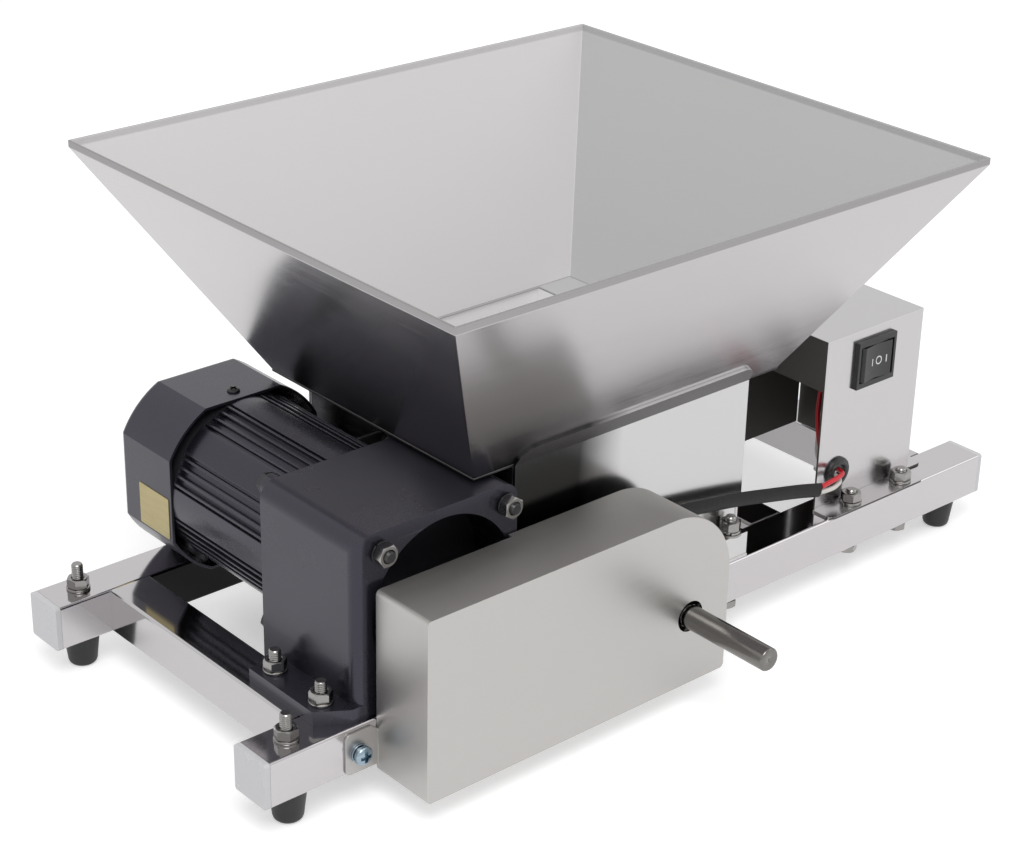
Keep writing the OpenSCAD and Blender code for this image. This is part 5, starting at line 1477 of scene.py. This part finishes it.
@dataclass
class CrusherBox:
    """Sheet box with its roller, guide plates, bearing bars and crank shaft."""

    shaft: tuple[float, float] = (223.84, 34.0)
    shaft_front: float = -89.8
    shaft_back: float = 191.5
    bar_xs: tuple[float, float] = (161.0, 294.5)
    bar_ys: tuple[float, float] = (5.5, 183.5)
    groove: tuple[float, float, float] = (52.8, 53.9, 5.5)
    bar_top: float = 38.0
    strip_low: float = 119.0
    plate_edge: Edge = Edge(0.4, 3, 25)
    wall_edge: Edge = Edge(0.35, 2, 40)
    bar_edge: Edge = Edge(0.5, 3, 40)

    def build(self, shop: Workshop, joints: Joints) -> None:
        """Builds the box."""
        self.sheets(shop)
        shop.carry(
            ("crushing_roller", "cast_roller", Edge(0.7, 2, 40)),
            ("front_bearing_bar", "plate_sheet", self.bar_edge),
            ("back_bearing_bar", "plate_sheet", self.bar_edge),
            ("bearing_bushes", "bronze_bush", Edge(0.25, 2, 40)),
        )
        self.crank(shop)
        tops = [(x, y, self.bar_top) for x in self.bar_xs for y in self.bar_ys]
        joints.nuts("bearing_nuts", tops, UP, ("flat", "spring"), seed=23)
        joints.bolts("bearing_bolts", [(x, y, 0.0) for x, y, _ in tops], UP, 48.5, 34, seed=24)

    def sheets(self, shop: Workshop) -> None:
        """Builds the plates and walls."""
        strip = spot(0, 0, self.strip_low).z
        low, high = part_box("hopper_base")

        def leaning(face: bpy.types.MeshPolygon) -> int:
            """Whether a face is the underside of the strip that leans on the hopper, painted dark as shade."""
            return int(face.center.z > strip and face.normal.z < -LEANING)

        def part(face: bpy.types.MeshPolygon) -> int:
            """Underside, top with its opening, or outer edge, the last painted dark as shade."""
            if face.normal.z < -STRAIGHT_ON:
                return 0
            reach = min(*(face.center - low).xy, *(high - face.center).xy)
            return 2 if face.normal.z < STRAIGHT_ON and reach < MILLIMETRE else 1

        # the front plate's face gets the painted reflection; the strip's underside gets painted shade
        shop.faced("front_plate", self.plate_edge, ("front_sheet", "strip_sheet"), leaning)
        # the throat's faces of the back plate and right wall glow with painted light
        shop.faced("back_plate", self.plate_edge, ("plate_sheet", "throat_back"), looks_forward)
        shop.faced("right_box_wall", self.wall_edge, ("box_sheet", "throat_side"), looks_left)
        shop.faced("hopper_base", self.wall_edge, ("box_sheet", "throat_floor", "sheared_edge"), part)
        walls = ("left_box_wall", "feed_plate", "crushing_plate")
        shop.carry(*((node, "box_sheet", self.wall_edge) for node in walls))

    def crank(self, shop: Workshop) -> None:
        """Builds the crank shaft with its chamfers and centre marks."""
        length = self.shaft_back - self.shaft_front
        near, far, neck = self.groove
        profile = [
            (0, 0.6), (0.7, 0.45), (1.25, 0.0), (5.1, 0.0), (5.35, 0.06), (5.92, 0.7), (6.0, 0.95),
            (6.0, near), (neck, near + 0.04), (neck, far - 0.04), (6.0, far),
            (6.0, length - 0.95), (5.92, length - 0.7), (5.2, length), (1.2, length), (0, length - 0.6),
        ]
        place = on_drawing(self.shaft[0], self.shaft_front, self.shaft[1], turned_to(BACKWARD))
        piece = linked("crank_shaft_piece", MeshMaker().lathe(profile, 72).mesh("crank_shaft_piece", place))
        shop.publish(shop.settle(piece, 40), "turned_shaft", "crank_shaft")


@dataclass
class Hopper:
    """Four-sided hopper with an upright rim, satin outside and blasted inside."""

    rim_low: float = 232.6
    lip: float = 0.6
    edge: Edge = Edge(0.4, 3, 20)

    def sheet(self, shop: Workshop) -> bpy.types.Object:
        """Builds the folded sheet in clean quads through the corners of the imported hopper.

        Args:
            shop: The workshop.

        Returns:
            The sheet with sharp edges.
        """
        low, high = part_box("hopper")
        middle = (low + high) / 2
        spots = {tuple(round(c, 6) for c in v.co) for v in shop.frame["nodes"]["hopper"].data.vertices}
        columns = []
        for way_x, way_y in ((-1, -1), (1, -1), (1, 1), (-1, 1)):
            here = [Vector(p) for p in spots if (p[0] - middle.x) * way_x > 0 and (p[1] - middle.y) * way_y > 0]
            here.sort(key=lambda p: p.z)
            pairs = [sorted(here[i:i + 2], key=lambda p: -abs(p.x - middle.x)) for i in range(0, len(here), 2)]
            columns.append([pair[0] for pair in pairs] + [pair[1] for pair in reversed(pairs)])
        maker = MeshMaker()
        rings = [maker.ring(column[i] / MILLIMETRE for column in columns) for i in range(len(columns[0]))]
        return linked("hopper_piece", maker.skin(rings, looped=True).mesh("hopper_piece"))

    def build(self, shop: Workshop) -> None:
        """Builds the hopper; its walls, rim and lower edge have their own finishes."""
        low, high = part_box("hopper")
        middle = (low + high) / 2
        rim = spot(0, 0, self.rim_low).z

        def side(face: bpy.types.MeshPolygon) -> int:
            """Outside, back wall's inside with painted light, another inside with painted shade, rim, or lower edge
            with painted shade.
            """
            away = face.center - middle
            inward = face.normal.x * away.x + face.normal.y * away.y < 0
            # the lower edge gets painted shade
            if face.center.z < low.z + self.lip * MILLIMETRE and face.normal.z < -LEANING:
                return 4
            if face.center.z > rim and (not inward or face.normal.z > 0.8):
                return 3
            if not inward:
                return 0
            return 1 if looks_forward(face) else 2

        finishes = ("hopper_outside", "hopper_back_inside", "hopper_side_inside", "rim_sheet", "sheared_edge")
        shop.faced("hopper", self.edge, finishes, side, self.sheet(shop))


@dataclass
class ChainCover:
    """Folded sheet cover of the chain, with its cross-headed tab screws."""

    screw_xs: tuple[float, float] = (48.4, 240.3)
    tab_face: float = -1.25
    screw_z: float = 10.5
    inside_wall: float = 1.5
    thick: float = 1.25
    head: tuple[float, float] = (9.5, 3.25)
    edge: Edge = Edge(0.5, 3, 24)

    def build(self, shop: Workshop) -> None:
        """Builds the cover and its screws."""
        # upward faces of the cover get the painted shade
        shop.faced("chain_cover", self.edge, ("cover_sheet", "cover_top"), lambda face: int(face.normal.z > 0.6))
        small = Threads(5.0, 0.8, 0.3)
        flat = small.washer(GAP, self.thick - GAP, 9.5, 5.3)
        spring = small.spring_washer(self.thick + GAP, 2 * self.thick - GAP, 8.0, 5.3)
        pan = Threads.pan_head(*self.head, small.diameter, 13.0)
        pan.transform(Matrix.Translation((0, 0, 2 * self.thick * MILLIMETRE)))
        for part, form, y, axis, finish, spin, seed in (
            ("washers", flat, self.tab_face, FORWARD, "blue_zinc", ANY_TURN, 41),
            ("springs", spring, self.tab_face, FORWARD, "zinc_hardware", ANY_TURN, 42),
            ("heads", pan, self.tab_face, FORWARD, "blue_zinc", 0.0, 43),
            ("nuts", small.nut(), self.inside_wall, BACKWARD, "zinc_hardware", ANY_TURN, 44),
        ):
            base = shop.points("tab_" + part, [(x, y, self.screw_z) for x in self.screw_xs], axis)
            shop.set_out("cover_screw_" + part, form, base, finish, "cover_screws", spin, seed)


@dataclass
class SwitchBox:
    """Folded switch box with its back panel, screws and nuts."""

    front_bolts: tuple[tuple[float, float], ...] = ((390.0, 6.2), (431.0, 6.2))
    side_bolts: tuple[tuple[float, float], ...] = ((452.2, 33.4), (452.2, 79.4))
    flange_top: float = 25.2
    right_wall: float = 445.0
    edge: Edge = Edge(0.5, 3, 24)
    back_edge: Edge = Edge(0.4, 2, 40)

    def build(self, shop: Workshop, joints: Joints) -> None:
        """Builds the box and its hardware."""
        low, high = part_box("switch_box")
        middle = (low + high) / 2
        flange = spot(0, 0, self.flange_top + 0.2).z
        right = spot(self.right_wall, 0, 0).x

        def side(face: bpy.types.MeshPolygon) -> int:
            """Outside, or one of the inner faces and cut edges, painted dark as shade."""
            normal, centre = face.normal, face.center
            if centre.z < flange:
                return int(normal.z < STRAIGHT_ON and looks_forward(face))
            to_left = looks_left(face) and (centre.x < middle.x or middle.x < centre.x < right)
            to_back = normal.y > STRAIGHT_ON and centre.y < middle.y
            corner = normal.x > STRAIGHT_ON and normal.y < -LEANING
            return int(to_left or to_back or normal.z < -STRAIGHT_ON or corner)

        # inner faces and cut edges get the painted shade
        finishes = ("switch_box_sheet", "box_inside")
        shop.faced("switch_box", self.edge, finishes, side)
        shop.faced("switch_box_back", self.back_edge, finishes, lambda face: int(face.normal.y < STRAIGHT_ON))
        seats = [(x, y, 0.0) for x, y in self.front_bolts + self.side_bolts]
        tops = [(x, y, self.flange_top) for x, y, _ in seats]
        joints.nuts("switch_box_nuts", tops, UP, ("flat",), seed=31)
        joints.bolts("switch_box_bolts", seats, UP, 33.2, 22, seed=32)


@dataclass
class Switch:
    """Rocker switch with its frame, and its three moulded-in marks."""

    centre: Place = (407.0, 18.4, 102.5)
    valley: float = 7.1
    crest: float = 8.9
    radius: float = 13.4
    proud: float = 0.03
    sunk: float = 0.2
    narrow: float = 0.85
    bar: tuple[float, float] = (0.36, 2.1)
    ring: tuple[float, float] = (2.5, 1.8)
    spread: float = 5.3
    shift: float = 1.6

    def face(self, x: float, z: float, out: float) -> Vector:
        """Place on the rocker's folded face.

        Args:
            x: Distance from the switch's middle.
            z: Height from the switch's middle.
            out: Distance in front of the face.

        Returns:
            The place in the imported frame, in millimetres.
        """
        depth = self.valley + (self.crest - self.valley) * abs(x) / self.radius + out
        return RAIL_CORNER + Vector((self.centre[0] + x, self.centre[1] - depth, self.centre[2] + z))

    def marks(self, shop: Workshop) -> None:
        """Builds two bars and a ring, sunk in the rocker but for a hair."""
        maker = MeshMaker()
        half, tall = self.bar
        for i in (-1, 1):
            rings = []
            for out in (-self.sunk, self.proud):
                around = [(half * a, tall * b) for a, b in ((-1, -1), (1, -1), (1, 1), (-1, 1))]
                rings.append(maker.ring(self.face(self.shift + i * self.spread + x, z, out) for x, z in around))
            maker.skin(rings)
        outer, inner = self.ring
        rings = []
        for size, out in ((inner, -self.sunk), (outer, -self.sunk), (outer, self.proud), (inner, self.proud)):
            around = oval(self.narrow * size, size, 36)
            rings.append(maker.ring(self.face(self.shift + x, z, out) for x, z in around))
        piece = linked("rocker_marks", maker.skin(rings, looped=True).mesh("rocker_marks"))
        shop.publish(piece, "white_mark", "rocker", hide=False)

    def build(self, shop: Workshop) -> None:
        """Builds the frame, the rocker and the marks."""
        shop.carry(
            ("switch_frame", "switch_plastic", Edge(0.6, 3, 40)),
            ("rocker", "rocker_plastic", Edge(0.45, 3, 24)),
        )
        self.marks(shop)


@dataclass
class Cable:
    """Grommet, flat sleeve and two wires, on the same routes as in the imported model."""

    sleeve_size: tuple[float, float] = (8.0, 3.0)
    wire: float = 2.6
    grommet: Place = (384.5, 13.4, 42.4)
    switch_x: float = 407.0
    corner_x: float = 168.0
    start_out: float = 23.5
    steps: int = 8
    profile: Section = (
        (4.5, 0.8), (5.0, 0.2), (5.6, 0.0), (6.4, 0.15), (6.9, 0.75), (7.5, 0.9), (8.1, 1.1), (8.6, 1.6), (8.75, 2.2),
        (8.7, 2.8), (8.5, 3.0), (6.5, 3.0), (6.5, 4.2), (8.05, 4.2), (8.2, 4.5), (8.1, 5.6), (7.6, 6.1), (5.3, 6.2),
        (4.7, 6.0), (4.5, 5.6), (4.5, 0.8),
    )
    straight: tuple[Place, ...] = (
        (1, 4, 42.5), (0.917, 4.5, 46.5), (0.808, 5, 51), (0.684, 5.5, 56), (0.565, 5.5, 60), (0.425, 6, 64),
        (0.269, 6.5, 68), (0.114, 6.5, 72), (0, 6.5, 76),
    )
    round_casing: tuple[Place, ...] = (
        (157, 7, 78), (150, 9.5, 80), (148.2, 15, 82), (148.2, 25, 85), (148.2, 45, 91), (148.2, 65, 97),
        (148, 80, 100.5), (147.4, 89, 102), (145.2, 95.5, 102), (142, 97.7, 102), (139.5, 98, 102),
    )
    red_in_box: tuple[Place, ...] = ((0.78, 37, 93), (0.64, 40, 84), (0.38, 37, 66), (0.155, 29, 50), (0.067, 20, 44))
    red_outside: tuple[Place, ...] = (
        (1, 13, 43.5), (-2.5, 7, 44.5), (-9.5, 4.5, 45), (-17.5, 4, 44.5), (-22.3, 4, 44.1),
    )
    white_in_box: tuple[Place, ...] = ((1.22, 37, 93), (1.04, 41, 82), (0.6, 38, 62), (0.11, 30, 47), (-0.06, 20, 41.5))
    white_outside: tuple[Place, ...] = (
        (-1.7, 13.5, 41.1), (-2.3, 9.5, 40.9), (-5.3, 6.3, 40.4), (-11.5, 4.5, 40), (-17.5, 4, 40.4), (-23.2, 4, 41),
    )

    def smooth(self, route: Sequence[Place]) -> list[Vector]:
        """Smooth curve through the points of a route.

        Args:
            route: Points on the drawing.

        Returns:
            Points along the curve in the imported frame, in millimetres.
        """
        points = [RAIL_CORNER + Vector(p) for p in route]
        made = []
        for i in range(len(points) - 1):
            a, b, c, d = points[max(0, i - 1)], points[i], points[i + 1], points[min(len(points) - 1, i + 2)]
            for k in range(self.steps):
                t = k / self.steps
                square, cube = 2 * a - 5 * b + 4 * c - d, 3 * b - a - 3 * c + d
                made.append(0.5 * (2 * b + (c - a) * t + square * t * t + cube * t ** 3))
        made.append(points[-1])
        return made

    def tube(self, name: str, path: Sequence[Vector], section: Section) -> bpy.types.Mesh:
        """Sweeps a section along a path and lays a map along it.

        Args:
            name: Name of the mesh.
            path: Places along the path in millimetres.
            section: Offsets sideways and upwards.

        Returns:
            The mesh, whose map "route" runs once round and lengthwise in tenths of a metre.
        """
        mesh = MeshMaker().sweep(path, section).mesh(name)
        around = len(section)
        lengths = [0.0]
        for here, there in zip(path, path[1:]):
            lengths.append(lengths[-1] + (there - here).length / 100)
        layer = mesh.uv_layers.new(name="route")
        for face in mesh.polygons:
            shares = {v: (v % around) / around for v in face.vertices}
            wraps = max(shares.values()) - min(shares.values()) > 0.5 and len(shares) == 4
            for loop in face.loop_indices:
                vertex = mesh.loops[loop].vertex_index
                share = shares[vertex] + (1.0 if wraps and shares[vertex] < 0.5 else 0.0)
                layer.data[loop].uv = (share, lengths[min(vertex // around, len(lengths) - 1)])
        return mesh

    def lead(self, shop: Workshop) -> None:
        """Builds the sleeve and the wires."""
        run = self.grommet[0] - self.start_out - self.corner_x
        sleeve = [(self.corner_x + s * run, y, z) for s, y, z in self.straight] + list(self.round_casing)
        high, thick = self.sleeve_size
        flat = oval(thick / 2, high / 2, 28)
        piece = linked("cable_sleeve_piece", self.tube("cable_sleeve_piece", self.smooth(sleeve), flat))
        shop.publish(shop.settle(piece, 50), "black_sleeving", "cable_sleeve")
        circle = oval(self.wire / 2, self.wire / 2, 16)
        run = self.switch_x - self.grommet[0]
        for node, finish, inside, outside in (
            ("red_wire", "red_cover", self.red_in_box, self.red_outside),
            ("white_wire", "white_cover", self.white_in_box, self.white_outside),
        ):
            route = [(self.grommet[0] + s * run, y, z) for s, y, z in inside]
            route += [(self.grommet[0] + x, y, z) for x, y, z in outside]
            wire = linked(node + "_piece", self.tube(node + "_piece", self.smooth(route), circle))
            shop.publish(shop.settle(wire, 50), finish, node)

    def build(self, shop: Workshop) -> None:
        """Builds the grommet and the lead."""
        place = on_drawing(self.grommet[0], self.grommet[1] - 3, self.grommet[2], turned_to(BACKWARD))
        ring = MeshMaker().lathe(self.profile, 64).mesh("cable_grommet_piece", place)
        piece = linked("cable_grommet_piece", ring)
        shop.publish(shop.settle(piece, 34), "grommet_rubber", "cable_grommet")
        self.lead(shop)


@dataclass
class Studio:
    """Camera, lamps, world and floor."""

    camera_at: Place = (-0.742728, -0.792108, 0.624652)
    camera_turn: Place = (64.45484, -1.16993, -40.98385)
    lens: float = 82.239
    sensor: float = 36.0
    clip: tuple[float, float] = (0.02, 60)
    floor_half: float = 9.0
    floor_tone: float = 0.8
    floor_glow: float = 0.42
    ambient: float = 0.62
    aim: Place = (0, 0, 0.1)
    key: tuple[Place, float, float] = ((-0.9, -1.1, 2.3), 1.6, 32.0)
    fill: tuple[Place, float, float] = ((1.9, -1.4, 1.5), 1.4, 4.0)

    def build(self) -> None:
        """Builds the studio."""
        self.camera()
        self.world()
        self.lamps()
        self.floor()
        bpy.context.scene.view_settings.view_transform = "Standard"

    def camera(self) -> None:
        """Sets the camera where the photograph was taken."""
        data = bpy.data.cameras.new("camera")
        data.lens, data.sensor_width, data.sensor_fit = self.lens, self.sensor, "HORIZONTAL"
        data.clip_start, data.clip_end = self.clip
        item = linked("camera", data)
        item.location = self.camera_at
        item.rotation_euler = Euler([math.radians(a) for a in self.camera_turn])
        bpy.context.scene.camera = item

    def world(self) -> None:
        """Makes a white surround for the eye, gloss and glass, and a plain grey light for the rest."""
        world = bpy.data.worlds.new("studio")
        world.use_nodes = True
        bpy.context.scene.world = world
        nodes = Nodes(world.node_tree)
        mix = nodes.add("ShaderNodeMixShader")
        out = nodes.add("ShaderNodeOutputWorld")
        nodes.join(nodes.seen(), mix.inputs["Fac"])
        for i, strength in ((1, self.ambient), (2, 1.0)):
            light = nodes.add("ShaderNodeBackground")
            light.inputs["Color"].default_value = (1, 1, 1, 1)
            light.inputs["Strength"].default_value = strength
            nodes.join(light.outputs[0], mix.inputs[i])
        nodes.join(mix.outputs[0], out.inputs["Surface"])

    def lamps(self) -> None:
        """Hangs one wide soft lamp above and one weaker lamp at the side."""
        for name, (place, size, power) in (("key_lamp", self.key), ("fill_lamp", self.fill)):
            data = bpy.data.lights.new(name, "AREA")
            data.shape, data.size, data.energy = "DISK", size, power
            item = linked(name, data)
            item.location = place
            item.rotation_euler = (Vector(self.aim) - Vector(place)).to_track_quat("-Z", "Y").to_euler()

    def floor(self) -> None:
        """Lays a pale floor that keeps the object's shadow."""
        half = self.floor_half
        mesh = bpy.data.meshes.new("floor")
        mesh.from_pydata([(-half, -half, 0), (half, -half, 0), (half, half, 0), (-half, half, 0)], [], [(0, 1, 2, 3)])
        item = linked("floor", mesh)
        material = bpy.data.materials.new("pale_floor")
        material.use_nodes = True
        nodes = Nodes(material.node_tree)
        paint = nodes.add("ShaderNodeBsdfDiffuse")
        paint.inputs["Color"].default_value = (self.floor_tone, self.floor_tone, self.floor_tone, 1)
        pick = nodes.add("ShaderNodeMixShader")
        both = nodes.add("ShaderNodeAddShader")
        out = nodes.add("ShaderNodeOutputMaterial")
        nodes.join(nodes.seen(), pick.inputs["Fac"])
        for i, strength in ((1, 0.0), (2, self.floor_glow)):
            glow = nodes.add("ShaderNodeEmission")
            glow.inputs["Strength"].default_value = strength
            nodes.join(glow.outputs[0], pick.inputs[i])
        nodes.join(paint.outputs[0], both.inputs[0])
        nodes.join(pick.outputs[0], both.inputs[1])
        nodes.join(both.outputs[0], out.inputs["Surface"])
        mesh.materials.append(material)


def main() -> None:
    """Builds every sub-assembly in order."""
    logging.basicConfig(level=logging.INFO, format="%(message)s")
    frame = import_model()
    Studio().build()
    shop = Workshop(frame)
    joints = Joints(shop, Threads())
    RailFrame().build(shop)
    Feet().build(shop, joints)
    GearCasing().build(shop, joints)
    Motor().build(shop)
    ChainDrive().build(shop)
    CrusherBox().build(shop, joints)
    Hopper().build(shop)
    ChainCover().build(shop)
    SwitchBox().build(shop, joints)
    Switch().build(shop)
    Cable().build(shop)
    LOG.info("%d pieces", shop.pieces)


if __name__ == "__main__":
    main()
